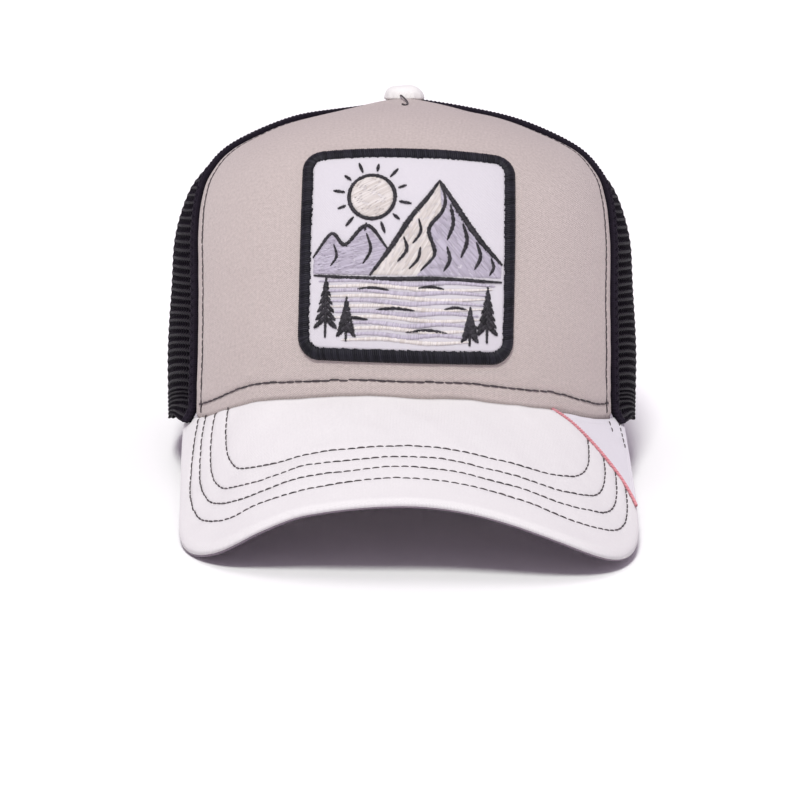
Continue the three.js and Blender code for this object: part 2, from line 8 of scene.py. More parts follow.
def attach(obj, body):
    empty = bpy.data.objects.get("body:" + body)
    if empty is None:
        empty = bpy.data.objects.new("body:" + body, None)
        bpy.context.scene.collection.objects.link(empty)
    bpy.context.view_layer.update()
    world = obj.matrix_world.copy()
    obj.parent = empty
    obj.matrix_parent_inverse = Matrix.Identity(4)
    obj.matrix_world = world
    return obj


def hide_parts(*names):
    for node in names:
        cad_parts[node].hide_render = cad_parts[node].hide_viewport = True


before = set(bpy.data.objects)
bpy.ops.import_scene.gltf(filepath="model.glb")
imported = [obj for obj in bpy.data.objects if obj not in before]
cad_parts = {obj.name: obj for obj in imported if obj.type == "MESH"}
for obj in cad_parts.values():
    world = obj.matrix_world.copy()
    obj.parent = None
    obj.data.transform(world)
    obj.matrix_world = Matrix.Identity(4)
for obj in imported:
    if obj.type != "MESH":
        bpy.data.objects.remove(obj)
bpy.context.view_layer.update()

# A trucker cap with a foam-backed front panel, a square patch, net sides and back, and a curved
# peak with a piped corner. Everything is worked out on a crown that stands level, in millimetres,
# with the front towards -Y. Tipped back by REST_TILT and moved to CAP_ORIGIN it lies in the part's
# frame. A bearing is an angle round the crown, 0 straight ahead and positive towards +X. A level
# counts the crown's sections, from 0 at the rim. Each point also keeps its place on the flat cloth,
# in millimetres, and a third value that differs from thread to thread.
REST_TILT = math.radians(10.5429)
CAP_ORIGIN = (0.0, 26.566, 18.658)
GAP = 0.3
MM = 0.001

# Reach of each section to the front, back and side, its heights there, and the front seam's bearing.
SECTION_COLUMNS = ("front", "back", "side", "z_front", "z_back", "z_side", "seam")
SECTIONS = np.array([
    (98.0, 104.0, 85.8, 0.0, 0.0, 0.0, 58.5),
    (97.0, 104.0, 86.0, 24.0, 22.0, 24.0, 57.5),
    (94.5, 102.0, 84.6, 45.5, 41.0, 45.5, 59.0),
    (90.0, 97.0, 83.4, 65.0, 58.0, 62.5, 61.0),
    (83.5, 88.0, 79.2, 81.6, 74.0, 77.2, 65.5),
    (74.5, 74.0, 73.6, 94.3, 87.5, 86.2, 69.3),
    (61.0, 57.0, 64.0, 103.0, 97.5, 94.9, 71.5),
    (43.0, 38.0, 44.5, 108.7, 104.5, 103.8, 73.0),
    (22.0, 19.0, 24.0, 111.3, 109.4, 108.8, 76.0),
    (0.0, 0.0, 0.0, 112.7, 112.7, 112.7, 80.0),
])
TOP_LEVEL = 8.85
FRONT_SQUARENESS = 2.18
BACK_SQUARENESS = 2.1
SIDE_SEAM = math.radians(118)
RIM = {"ear_dip": 5.2, "ear_bearing": 95, "ear_spread": 35, "blend": 35, "fade_level": 2.6}

FOAM = 3.0
TENT = 1.3
PANEL_LIP = 3.4
NET_THICKNESS = 1.2
PEAK = {
    "seam_height": 12.0, "pitch": math.radians(25.7), "reach": 61.8, "half_width": 79.6,
    "drop": 35.1, "drop_at": 78.9, "drop_power": 2.15,
    "twist": 0.032, "twist_end": 75.0, "twist_fade": 0.8,
    "right_powers": (3.4, 2.7), "left_powers": (2.2, 2.22), "left_trim": 0.019,
    "corner": math.radians(61.5), "corner_reach": 2.5, "thickness": 2.2, "underside": 1.0,
}
# Where the peak meets the crown it lies lower in the middle and higher halfway to each corner.
SEAT = {
    "dip": 1.0, "dip_width": 16.0, "rise": 1.35, "rise_at": 55.0, "rise_width": 14.0, "reach": 35.0,
}
# Both ends hang down a little further than the even bend of the peak, the left one more.
TIPS = {
    "left": 2.6, "right": 0.8, "from": 50.0, "to": 74.0,
    "left_edge": 4.5, "edge_from": 34.0, "edge_to": 66.0,
}
PIPING_LINE = np.array([(51.0, 81.5), (73.5, 80.0), (79.4, 102.0)])
PIPING_RADIUS = 0.8
TAB_THICKNESS = 1.0
BUTTON = {"radius": 7.5, "rise": 4.7, "lift": 0.9, "shift": 0.5, "pleats": 14, "pleat": 0.22}
PATCH = {
    "half": 38.8, "corner": 8.0, "across": 0.5, "climb": 50.7, "turn": math.radians(-1.3), "droop": 1.3,
}
PATCH_CLOTH = 1.0
BORDER_WIDTH = 4.3
BORDER_HEIGHT = 2.0
ARCH = {"half_width": 47.0, "height": 52.0, "squareness": 2.1}
BINDING = {"width": 5.0, "proud": 0.6, "depth": 1.8, "stitch": 0.9}
STRAP = {
    "foot": 0.6, "height": 17.0, "thickness": 1.5, "overlap": math.radians(8.5),
    "stud_pitch": 9.6, "stud_reach": 46, "stud_radius": 2.6,
}
SWEATBAND = {
    "height": 32.0, "thickness": 1.5, "lift": 1.0, "end": math.radians(148), "low_seam": 3.2,
    "high_seam": 2.2,
}

# The four rows of stitches on the peak: greatest half width, how far forward of the crown that
# width and the middle of the row lie on the flat peak, where the row meets the crown, and how far
# further back its greatest width lies at the left.
STITCH_ROW_COLUMNS = ("half_width", "widest", "front", "root_x", "root", "left_back")
STITCH_ROWS = (
    (63.4, -15.0, 33.9, 62.3, -34.0, 4.0),
    (68.8, -12.0, 41.1, 66.9, -38.1, 9.0),
    (72.6, -8.0, 48.0, 71.1, -42.1, 13.0),
    (75.8, -1.0, 55.3, 74.0, -45.0, 15.0),
)
ROW_RIGHT_POWERS = (3.4, 2.85)
ROW_LEFT_POWERS = (2.6, 2.4)
ROW_LEFT_SHARE = 0.985
ROW_SKEW = 0.004
LINING_REACH = 0.985
TAB_STITCHES = (((72.5, -43.0), (73.6, -36.4)), ((76.3, -48.4), (77.8, -32.3)))

# Height of the panel's bottom stitches above the rim at bearings in degrees.
PANEL_HEM_BEARINGS = (-58, -38.5, -21.5, -12.3, 0, 9.7, 34, 50.9, 58)
PANEL_HEM_HEIGHTS = (4.2, 6.0, 5.6, 5.3, 5.3, 5.5, 5.9, 4.5, 4.9)
PANEL_EDGE_STITCH = 4.0

radians = np.radians


def lerp(start, end, share):
    return start + (end - start) * share


def smooth(value, low, high):
    share = np.clip((value - low) / (high - low), 0, 1)
    return share * share * (3 - 2 * share)


def signed_power(value, power):
    return np.sign(value) * np.abs(value) ** power


def unit(vectors):
    return vectors / np.maximum(np.linalg.norm(vectors, axis=-1, keepdims=True), 1e-12)


def bump(distance, width):
    """1 on a line and 0 away from it."""
    return np.exp(-((distance / width) ** 2))


def extended(values):
    """The values with one more at each end, in line with the last two there."""
    values = np.asarray(values, float)
    return np.concatenate([[2 * values[0] - values[1]], values, [2 * values[-1] - values[-2]]])


def spline(a, b, c, d, t):
    """Smooth curve from b to c, with a before it and d after it."""
    bend = (2 * a - 5 * b + 4 * c - d) * t**2 + (3 * b - a - 3 * c + d) * t**3
    return 0.5 * (2 * b + (c - a) * t + bend)


def section(column, level):
    """Value of one column of SECTIONS at any level, on a smooth curve through its rows."""
    values = extended(SECTIONS[:, SECTION_COLUMNS.index(column)])
    row = np.clip(np.floor(level).astype(int), 0, len(SECTIONS) - 2)
    return spline(*(values[row + k] for k in range(4)), level - row)


def ring_point(bearing, level):
    ahead = np.cos(bearing) > 0
    power = 2 / np.where(ahead, FRONT_SQUARENESS, BACK_SQUARENESS)
    reach = np.where(ahead, section("front", level), section("back", level))
    x = section("side", level) * signed_power(np.sin(bearing), power)
    y = -reach * signed_power(np.cos(bearing), power)
    return x, y


def root_forward(x):
    """Distance ahead of the middle at which the rim passes a place beside it."""
    beside = np.minimum((np.abs(x) / SECTIONS[0, 2]) ** FRONT_SQUARENESS, 1)
    return SECTIONS[0, 0] * (1 - beside) ** (1 / FRONT_SQUARENESS)


def peak_height(x, forward):
    """Height of the peak's upper face at a place in plan."""
    side = np.abs(x)
    drop = PEAK["drop"] * (side / PEAK["drop_at"]) ** PEAK["drop_power"]
    drop = drop + np.where(x < 0, TIPS["left"], TIPS["right"]) * smooth(side, TIPS["from"], TIPS["to"])
    seat = SEAT["rise"] * bump(side - SEAT["rise_at"], SEAT["rise_width"])
    seat = seat - SEAT["dip"] * bump(x, SEAT["dip_width"])
    near_root = 1 - smooth(forward - root_forward(x), 0, SEAT["reach"])
    twist = PEAK["twist"] * x * (1 - PEAK["twist_fade"] * (side / PEAK["twist_end"]) ** 4)
    twist = twist * np.where(x < 0, near_root, 1)
    drop = drop + TIPS["left_edge"] * smooth(-x, TIPS["edge_from"], TIPS["edge_to"]) * (1 - near_root)
    slope = math.tan(PEAK["pitch"]) * (forward - SECTIONS[0, 0])
    return PEAK["seam_height"] - slope - drop - twist + seat * near_root


def rim_height(bearing):
    turn = np.abs(bearing)
    corner = PEAK["corner"]
    x, y = ring_point(np.clip(bearing, -corner, corner), 0.0 * turn)
    at_peak = peak_height(x, -y)
    away = smooth(turn, corner, corner + radians(RIM["blend"]))
    from_ear = (turn - radians(RIM["ear_bearing"])) / radians(RIM["ear_spread"])
    return lerp(at_peak, -RIM["ear_dip"] * np.exp(-(from_ear**2)), away)


def wave_share(level):
    return 1 - smooth(level, 0, RIM["fade_level"])


def crown_point(bearing, level):
    bearing, level = np.broadcast_arrays(np.asarray(bearing, float), np.asarray(level, float))
    x, y = ring_point(bearing, level)
    ahead = np.cos(bearing) > 0
    end = np.where(ahead, section("z_front", level), section("z_back", level))
    height = lerp(section("z_side", level), end, np.cos(bearing) ** 2)
    return np.stack([x, y, height + rim_height(bearing) * wave_share(level)], -1)


def crown_normal(bearing, level):
    step = 0.01
    around = crown_point(bearing + step, level) - crown_point(bearing - step, level)
    lower = np.maximum(level - step, 0)
    climb = crown_point(bearing, level + step) - crown_point(bearing, lower)
    return unit(np.cross(around, climb))


def on_crown(bearing, level, out):
    bearing, level = np.broadcast_arrays(np.asarray(bearing, float), np.asarray(level, float))
    out = np.broadcast_to(np.asarray(out, float), bearing.shape)
    return crown_point(bearing, level) + crown_normal(bearing, level) * out[..., None]


def walk(bearing, level, distance):
    """Bearing reached by going a distance round the crown on one level."""
    steps = 8
    reach = 0.01
    at = np.asarray(bearing, float) + 0.0 * np.asarray(distance)
    for _ in range(steps):
        span = crown_point(at + reach, level) - crown_point(at - reach, level)
        at = at + distance / steps / (np.linalg.norm(span, axis=-1) / (2 * reach))
    return at


def solve(rising, target, low, high):
    """Value between low and high at which a rising function reaches a target."""
    halvings = 30
    low = np.full(np.shape(target), float(low))
    high = np.full(np.shape(target), float(high))
    for _ in range(halvings):
        middle = (low + high) / 2
        under = rising(middle) < target
        low = np.where(under, middle, low)
        high = np.where(under, high, middle)
    return (low + high) / 2


def level_above(bearing, height):
    """Level that lies a height above the rim at a bearing."""
    foot = crown_point(bearing, 0.0 * bearing)[..., 2]
    return solve(lambda level: crown_point(bearing, level)[..., 2] - foot, height + 0.0 * foot, 0, 5)


def seam_bearing(level):
    return radians(section("seam", level))


def arc_lengths(points):
    """Distance from the first point along each row of points."""
    steps = np.linalg.norm(np.diff(points, axis=-2), axis=-1)
    start = np.zeros(steps.shape[:-1] + (1,))
    return np.concatenate([start, np.cumsum(steps, -1)], -1)


def resample(path, places):
    """Points at distances along a path."""
    lengths = arc_lengths(path)
    return np.stack([np.interp(places, lengths, path[:, k]) for k in range(path.shape[1])], -1)


def evenly(path, count):
    return resample(path, np.linspace(0, arc_lengths(path)[-1], count))


def ripple(u, v, wavelength, seed, waves=7):
    """Smooth irregular waves between about -1 and 1."""
    random = np.random.default_rng(seed)
    total = 0.0
    for _ in range(waves):
        heading = random.uniform(0, 2 * math.pi)
        pitch = wavelength * random.uniform(0.7, 1.6)
        phase = random.uniform(0, 2 * math.pi)
        ahead = u * math.cos(heading) + v * math.sin(heading)
        total = total + np.sin(ahead * 2 * math.pi / pitch + phase)
    return total / math.sqrt(waves)


# Meshes

class Shape:
    """Points in the cap's frame, four-cornered faces, and each point's place on the cloth."""

    def __init__(self, points, quads, cloth):
        self.points = np.asarray(points, float).reshape(-1, 3)
        self.quads = np.asarray(quads, int).reshape(-1, 4)
        self.cloth = np.asarray(cloth, float).reshape(-1, 3)


def flat_place(across, along):
    """Place on the flat cloth, with 0 as its third value."""
    across, along = np.broadcast_arrays(across, along)
    return np.stack([across, along, 0 * along], -1)


def join(shapes):
    starts = np.cumsum([0] + [len(shape.points) for shape in shapes])
    quads = [shape.quads + start for shape, start in zip(shapes, starts)]
    points = np.concatenate([shape.points for shape in shapes])
    return Shape(points, np.concatenate(quads), np.concatenate([shape.cloth for shape in shapes]))


def grid_quads(rows, columns, ring=False):
    """Faces of a grid of points, the last column joined to the first one in a ring."""
    index = np.arange(rows * columns).reshape(rows, columns)
    if ring:
        index = np.concatenate([index, index[:, :1]], 1)
    corners = (index[:-1, :-1], index[:-1, 1:], index[1:, 1:], index[1:, :-1])
    return np.stack(corners, -1).reshape(-1, 4)


def wall(outer, inner, cloth, ring=False):
    """Closed wall between two grids of points, which may be a ring along the rows."""
    rows, columns = outer.shape[:2]
    count = rows * columns
    quads = grid_quads(rows, columns)
    index = np.arange(count).reshape(rows, columns)
    borders = [index[:, 0], index[::-1, -1]]
    if ring:
        close = np.stack([index[-1, :-1], index[-1, 1:], index[0, 1:], index[0, :-1]], -1)
        quads = np.concatenate([quads, close])
        borders = [np.append(index[:, 0], 0), np.append(index[::-1, -1], index[-1, -1])]
    else:
        borders += [index[0, ::-1], index[-1]]
    sides = [np.stack([edge[:-1], edge[1:], edge[1:] + count, edge[:-1] + count], -1)
             for edge in borders]
    quads = np.concatenate([quads, quads[:, ::-1] + count] + sides)
    return Shape(np.concatenate([outer.reshape(-1, 3), inner.reshape(-1, 3)]), quads,
                 np.concatenate([cloth.reshape(-1, 3)] * 2))


def strands(centres, side, up, half_width, half_height, cloth, corners=6):
    """Closed tubes of elliptic section, one for each row of centres."""
    turn = np.linspace(0, 2 * math.pi, corners, endpoint=False)
    across = np.cos(turn)[:, None] * (side * half_width[..., None])[:, :, None]
    above = np.sin(turn)[:, None] * (up * half_height[..., None])[:, :, None]
    points = centres[:, :, None] + across + above
    count, rows = centres.shape[:2]
    one = grid_quads(rows, corners, ring=True)
    starts = np.arange(count)[:, None, None] * rows * corners
    return Shape(points, one[None] + starts, np.repeat(cloth[:, :, None], corners, 2))


def path_frames(points, normals):
    """Directions beside and above rows of points on a surface."""
    along = unit(np.gradient(points, axis=-2))
    beside = unit(np.cross(along, normals))
    return beside, np.cross(beside, along)


def to_part(points):
    x, y, z = np.moveaxis(points, -1, 0)
    cosine, sine = math.cos(REST_TILT), math.sin(REST_TILT)
    tipped = np.stack([x, y * cosine + z * sine, z * cosine - y * sine], -1)
    return (tipped + CAP_ORIGIN) * MM


def volume(points, quads):
    a, b, c, d = (points[quads[:, k]] for k in range(4))
    return (a * (np.cross(b, c) + np.cross(c, d))).sum()


def piece(name, shape, material, slot, *nodes):
    """Object of one shape, which rides with the cap and stands for the named CAD nodes."""
    quads = shape.quads if volume(shape.points, shape.quads) > 0 else shape.quads[:, ::-1]
    mesh = bpy.data.meshes.new(name)
    mesh.vertices.add(len(shape.points))
    mesh.vertices.foreach_set("co", to_part(shape.points).ravel())
    mesh.loops.add(quads.size)
    mesh.loops.foreach_set("vertex_index", quads.ravel())
    mesh.polygons.add(len(quads))
    mesh.polygons.foreach_set("loop_start", np.arange(len(quads)) * 4)
    mesh.polygons.foreach_set("use_smooth", np.ones(len(quads), bool))
    cloth = mesh.attributes.new("cloth", "FLOAT_VECTOR", "POINT")
    cloth.data.foreach_set("vector", shape.cloth.ravel())
    mesh.update(calc_edges=True)
    mesh.materials.append(material)
    made = bpy.data.objects.new(name, mesh)
    bpy.context.scene.collection.objects.link(made)
    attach(made, "root")
    if nodes:
        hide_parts(*nodes)


# Materials

# The darker and the lighter colour of each material.
COLOURS = {
    "panel_cloth": ((0.42, 0.363, 0.342), (0.605, 0.525, 0.50)),
    "peak_cloth": ((0.648, 0.630, 0.634), (0.796, 0.782, 0.778)),
    # Painted shade: the underside cloth is given a dark grey so that it deepens the shade on the floor
    # under the peak, not because the cloth is known to be so dark.
    "underside_cloth": ((0.19, 0.155, 0.19), (0.29, 0.245, 0.29)),
    "tab_cloth": ((0.611, 0.593, 0.630), (0.741, 0.722, 0.759)),
    "button_cloth": ((0.74, 0.73, 0.715), (0.88, 0.87, 0.85)),
    "patch_cloth": ((0.556, 0.537, 0.574), (0.694, 0.667, 0.704)),
    "black_cloth": ((0.003, 0.003, 0.005), (0.03, 0.027, 0.032)),
    "piping_thread": ((0.48, 0.10, 0.13), (0.88, 0.46, 0.49)),
    "cream_thread": ((0.574, 0.519, 0.481), (0.815, 0.778, 0.76)),
    "grey_thread": ((0.37, 0.333, 0.407), (0.611, 0.574, 0.667)),
    "black_thread": ((0.003, 0.003, 0.005), (0.022, 0.021, 0.030)),
    # The black embroidery's lighter colour spans a wide range: partly the threads' own differing tone,
    # partly painted glints of light on single threads.
    "embroidery_black_tone_and_glints": ((0.002, 0.002, 0.003), (0.055, 0.05, 0.06)),
    "stitch_thread": ((0.014, 0.009, 0.012), (0.07, 0.050, 0.056)),
    "net_yarn": ((0.001, 0.0008, 0.0015), (0.009, 0.006, 0.012)),
    "fold_yarn": ((0.002, 0.0015, 0.003), (0.024, 0.018, 0.03)),
    "strap_plastic": ((0.012, 0.011, 0.013), (0.024, 0.022, 0.026)),
}


def add_node(tree, kind, inputs=None, **settings):
    """New node with its settings and inputs, an input being a value or another node's output."""
    node = tree.nodes.new(kind)
    for key, value in settings.items():
        setattr(node, key, value)
    for key, value in (inputs or {}).items():
        if isinstance(value, bpy.types.NodeSocket):
            tree.links.new(value, node.inputs[key])
        else:
            node.inputs[key].default_value = value
    return node


def new_material(name, roughness, sheen=0.0, specular=0.5, sheen_roughness=0.5):
    material = bpy.data.materials.new(name)
    material.use_nodes = True
    shader = material.node_tree.nodes["Principled BSDF"]
    shader.inputs["Roughness"].default_value = roughness
    shader.inputs["Sheen Weight"].default_value = sheen
    shader.inputs["Sheen Roughness"].default_value = sheen_roughness
    shader.inputs["Specular IOR Level"].default_value = specular
    return material, material.node_tree, shader


def mottle(tree, place, scale, detail=2.0):
    noise = add_node(tree, "ShaderNodeTexNoise", {"Vector": place, "Scale": scale, "Detail": detail})
    return noise.outputs["Fac"]


def yarns(tree, place, heading, pitch, wobble=0.6):
    """Parallel yarns across a heading, one each pitch millimetres."""
    turned = add_node(tree, "ShaderNodeMapping", {
        "Vector": place, "Rotation": (0, 0, math.radians(heading)),
    })
    wave = add_node(tree, "ShaderNodeTexWave", {
        "Vector": turned.outputs["Vector"], "Scale": math.pi / (10 * pitch), "Distortion": wobble,
        "Detail": 1.0, "Detail Scale": 1.5,
    })
    return wave.outputs["Fac"]


def add_scaled(tree, value, factor, base=0.0):
    """A value times a factor, added to a base."""
    node = add_node(tree, "ShaderNodeMath", {0: value, 1: factor, 2: base}, operation="MULTIPLY_ADD")
    return node.outputs["Value"]


def set_colour(tree, shader, share, low, high):
    colours = {"Factor": share, 6: (*low, 1.0), 7: (*high, 1.0)}
    mix = add_node(tree, "ShaderNodeMix", colours, data_type="RGBA")
    tree.links.new(mix.outputs[2], shader.inputs["Base Color"])


def patterned(name, pattern, depth, *surface):
    """Material whose pattern gives a tone between two colours and the height of its relief."""
    material, tree, shader = new_material(name, *surface)
    place = add_node(tree, "ShaderNodeAttribute", attribute_name="cloth").outputs["Vector"]
    tone, height = pattern(tree, place)
    set_colour(tree, shader, tone, *COLOURS[name])
    relief = add_node(tree, "ShaderNodeBump", {"Height": height, "Distance": depth * MM, "Strength": 1.0})
    tree.links.new(relief.outputs["Normal"], shader.inputs["Normal"])
    return material


TWILL_HEADING = 58
# Share of the lighter colour in a cloth, before its flecks, blotches and weave.
CLOTH_TONE = 0.42


def woven(name, pitch, depth, roughness=0.85, sheen=0.2, flecks=0.35, grain=0.15):
    """Twill cloth: diagonal ribs crossed by fine yarns, with colour flecks and soft blotches."""
    def pattern(tree, place):
        ribs = yarns(tree, place, TWILL_HEADING, pitch)
        weave = add_scaled(tree, yarns(tree, place, 0, 0.8 * pitch), 0.6, ribs)
        fleck = mottle(tree, place, 0.95, 4.0)
        tone = add_scaled(tree, fleck, flecks, CLOTH_TONE - flecks / 2 - 0.8 * grain)
        tone = add_scaled(tree, mottle(tree, place, 0.06), 0.16, tone)
        return add_scaled(tree, weave, grain, tone), add_scaled(tree, fleck, 0.8, weave)

    return patterned(name, pattern, depth, roughness, sheen, 0.25)


def thread(name, roughness=0.45, sheen=0.1, specular=0.5):
    """Sewing or embroidery thread: twisted filaments, each thread a little lighter or darker."""
    def pattern(tree, place):
        parts = add_node(tree, "ShaderNodeSeparateXYZ", {"Vector": place})
        filaments = yarns(tree, place, 35, 0.32, 0.3)
        return add_scaled(tree, filaments, 0.3, add_scaled(tree, parts.outputs["Z"], 0.7)), filaments

    return patterned(name, pattern, 0.03, roughness, sheen, specular)


def net_yarn(name):
    """Polyester net: knitted filaments with a soft shine."""
    def pattern(tree, place):
        knit = add_scaled(tree, yarns(tree, place, 0, 0.45, 1.2), 1.0, yarns(tree, place, 62, 0.6, 1.2))
        return add_scaled(tree, knit, 0.3, add_scaled(tree, mottle(tree, place, 0.5), 0.5)), knit

    return patterned(name, pattern, 0.08, 0.5, 0.01, 0.06, 0.4)


def moulded_plastic(name):
    """Moulded plastic with a fine grain, shinier in some patches than in others."""
    def pattern(tree, place):
        patches = {"Value": mottle(tree, place, 0.4, 3.0), "To Min": 0.32, "To Max": 0.5}
        shine = add_node(tree, "ShaderNodeMapRange", patches)
        tree.links.new(shine.outputs["Result"], tree.nodes["Principled BSDF"].inputs["Roughness"])
        return mottle(tree, place, 0.15), mottle(tree, place, 3.0, 4.0)

    return patterned(name, pattern, 0.02, 0.38)


# Front panel

# Depth and half width of the grooves that the edge and the hem stitches draw into the foam.
EDGE_GROOVE = (0.42, 0.55)
HEM_GROOVE = (0.38, 0.8)
HEM_ROLL = {"height": 0.25, "above": 3.5, "width": 2.2}
# How far the cloth turns in along its sides and its lower edge, and over what distance.
SIDE_TURN = (0.9, 0.9)
LOWER_TURN = (0.5, 1.2)
TENT_LEVELS = (7.6, 8.8)
# Distances of the close columns of points from the side of the panel.
EDGE_COLUMNS = np.array([
    0, 0.2, 0.45, 0.75, 1.1, 1.6, 2.2, 2.8, 3.2, 3.5, 3.75, 4.0, 4.25, 4.5, 4.8, 5.3, 6.0, 7.0,
])


def level_rows(levels, start, end):
    """Bearings from start to end on each level, and the distances to them along the level."""
    bearings = lerp(start[:, None], end[:, None], np.linspace(0, 1, 64))
    return bearings, arc_lengths(crown_point(bearings, levels[:, None]))


def edge_weighted_shares(widths, count):
    """Shares of each width with close columns near both edges and even ones between."""
    rows = []
    for width in widths:
        edge = EDGE_COLUMNS * min(1, width / (4 * EDGE_COLUMNS[-1])) / width
        between = np.linspace(edge[-1], 1 - edge[-1], count)[1:-1]
        rows.append(np.concatenate([edge, between, 1 - edge[::-1]]))
    return np.array(rows)


def tent(level):
    """Lift of the panel towards the button."""
    return TENT * smooth(level, *TENT_LEVELS) ** 1.5


def panel_swell(bearing, level):
    """Soft dents of the foam-backed cloth, and its lift towards the button."""
    x, _, z = np.moveaxis(crown_point(bearing, level), -1, 0)
    return 0.13 * ripple(x, z, 34, 1) + 0.06 * ripple(x, z, 13, 2) + tent(level)


def front_panel():
    levels = np.concatenate([np.linspace(0, 0.6, 26), np.linspace(0.6, TOP_LEVEL, 86)[1:]])
    edge = walk(seam_bearing(levels), levels, -GAP / 2)
    turns, lengths = level_rows(levels, -edge, edge)
    widths = lengths[:, -1:]
    shares = edge_weighted_shares(widths[:, 0], 110)
    bearings = np.array([np.interp(*row) for row in zip(shares * widths, lengths, turns)])
    level = np.broadcast_to(levels[:, None], bearings.shape)
    across = (shares - 0.5) * widths
    face = crown_point(bearings, level)
    up = arc_lengths(face.swapaxes(0, 1)).T
    from_edge = widths / 2 - np.abs(across)
    above_hem = up - np.interp(np.degrees(bearings), PANEL_HEM_BEARINGS, PANEL_HEM_HEIGHTS)
    pucker = 0.75 + 0.25 * ripple(up, across, 5, 3)
    roll = bump(above_hem - HEM_ROLL["above"], HEM_ROLL["width"]) * (0.5 + 0.5 * ripple(across, up, 9, 4))
    out = panel_swell(bearings, level) + HEM_ROLL["height"] * roll
    out -= EDGE_GROOVE[0] * bump(from_edge - PANEL_EDGE_STITCH, EDGE_GROOVE[1]) * pucker
    out -= HEM_GROOVE[0] * bump(above_hem, HEM_GROOVE[1]) * pucker * smooth(from_edge, 1, 2)
    out -= SIDE_TURN[0] * (1 - smooth(from_edge, 0, SIDE_TURN[1])) ** 2
    out -= LOWER_TURN[0] * (1 - smooth(up, 0, LOWER_TURN[1])) ** 2
    normals = crown_normal(bearings, level)
    faces = (face + normals * out[..., None], face - normals * FOAM, flat_place(across, up))
    lip = np.array([0, 0, -PANEL_LIP])
    return wall(*(np.concatenate([grid[:1] + lip, grid]) for grid in faces))


# Net

# Width and height of a cell, and how much of them its hole takes. The rows of the hem are closer.
# The strands are thinner where two cells meet side by side, and their crest is rounded.
NET = {
    "column": 2.75, "row": 3.0, "hem_row": 1.5, "hem": 8.8, "hole_across": 0.68, "hole_up": 0.56,
    "hole_corner": 0.74, "unevenness": 0.035, "crest": 0.55, "sink": 0.25, "thin": 0.45,
    "shoulder": 0.42, "shoulder_drop": 0.12, "least_area": 0.25,
}
NET_LEVELS = np.linspace(0, TOP_LEVEL, 140)
# Half the gap between the two back panels, as an angle.
MIDDLE_GAP = 0.0015
# Beside the front seam the hem of the net hangs down over the end of the peak.
HEM_FLARE = {"drop": 3.0, "out": 2.8, "climb": 5.0, "from": 2.0, "spread": 22}
SEAM_TAPE = {"width": 7.0, "depth": 1.4, "thickness": 0.5}


def flared(bearing, level, climb, out):
    """Point of the net, whose hem is let down and outwards beside the front seam."""
    seam = section("seam", 0)
    turn = np.degrees(np.abs(bearing))
    share = 1 - smooth(turn, seam + HEM_FLARE["from"], seam + HEM_FLARE["spread"])
    share = share * (1 - smooth(climb, 0, HEM_FLARE["climb"]))
    points = on_crown(bearing, level, out + HEM_FLARE["out"] * share**2)
    points[..., 2] -= HEM_FLARE["drop"] * share
    return points


def net_rows(height):
    hem = np.arange(0, NET["hem"], NET["hem_row"])
    return np.concatenate([hem, np.arange(hem[-1] + NET["hem_row"], height, NET["row"]), [height]])


def net_cells(heights, half_width, clip):
    """Corner ring of each cell on the flat net, staggered like bricks, clipped to the panel."""
    columns = int(half_width / NET["column"]) + 2
    cells = []
    for row, (low, high) in enumerate(zip(heights[:-1], heights[1:])):
        middle = (low + high) / 2
        for column in range(-columns, columns + 1):
            left = (column + 0.5 * (row % 2) - 0.5) * NET["column"]
            centre = left + NET["column"] / 2
            right = left + NET["column"]
            cells.append(((left, low), (centre, low), (right, low), (right, middle),
                          (right, high), (centre, high), (left, high), (left, middle)))
    cells = clip(np.array(cells))
    x, y = cells[..., 0], cells[..., 1]
    area = 0.5 * np.abs((x * np.roll(y, -1, 1) - y * np.roll(x, -1, 1)).sum(1))
    return cells[area > NET["least_area"]]


def perforated(cells, place, seed):
    """Net of rounded strands: each cell is a ring of cloth round a hole."""
    random = np.random.default_rng(seed)
    centre = cells.mean(1, keepdims=True)
    squeeze = np.array([NET["hole_across"], NET["hole_up"]])
    corner = np.array([NET["hole_corner"], 1.0] * 4)[None, :, None]
    uneven = 1 + random.normal(0, NET["unevenness"], (len(cells), 8, 1))
    hole = centre + (cells - centre) * squeeze * corner * uneven
    shoulder = lerp(hole, cells, NET["shoulder"])
    level = np.zeros(8)
    crest = NET["crest"] * np.array([1, 1, 1, NET["thin"]] * 2) - NET["sink"]
    rings = ((cells, crest), (shoulder, crest - NET["shoulder_drop"]),
             (hole, level - NET_THICKNESS / 2), (cells, level - NET_THICKNESS))
    points = np.stack([place(*np.moveaxis(ring, -1, 0), out) for ring, out in rings], 1)
    one = grid_quads(len(rings), 8, ring=True)
    starts = np.arange(len(cells))[:, None, None] * len(rings) * 8
    flat = np.stack([ring for ring, _ in rings], 1)
    return Shape(points, one[None] + starts, flat_place(flat[..., 0], flat[..., 1]))


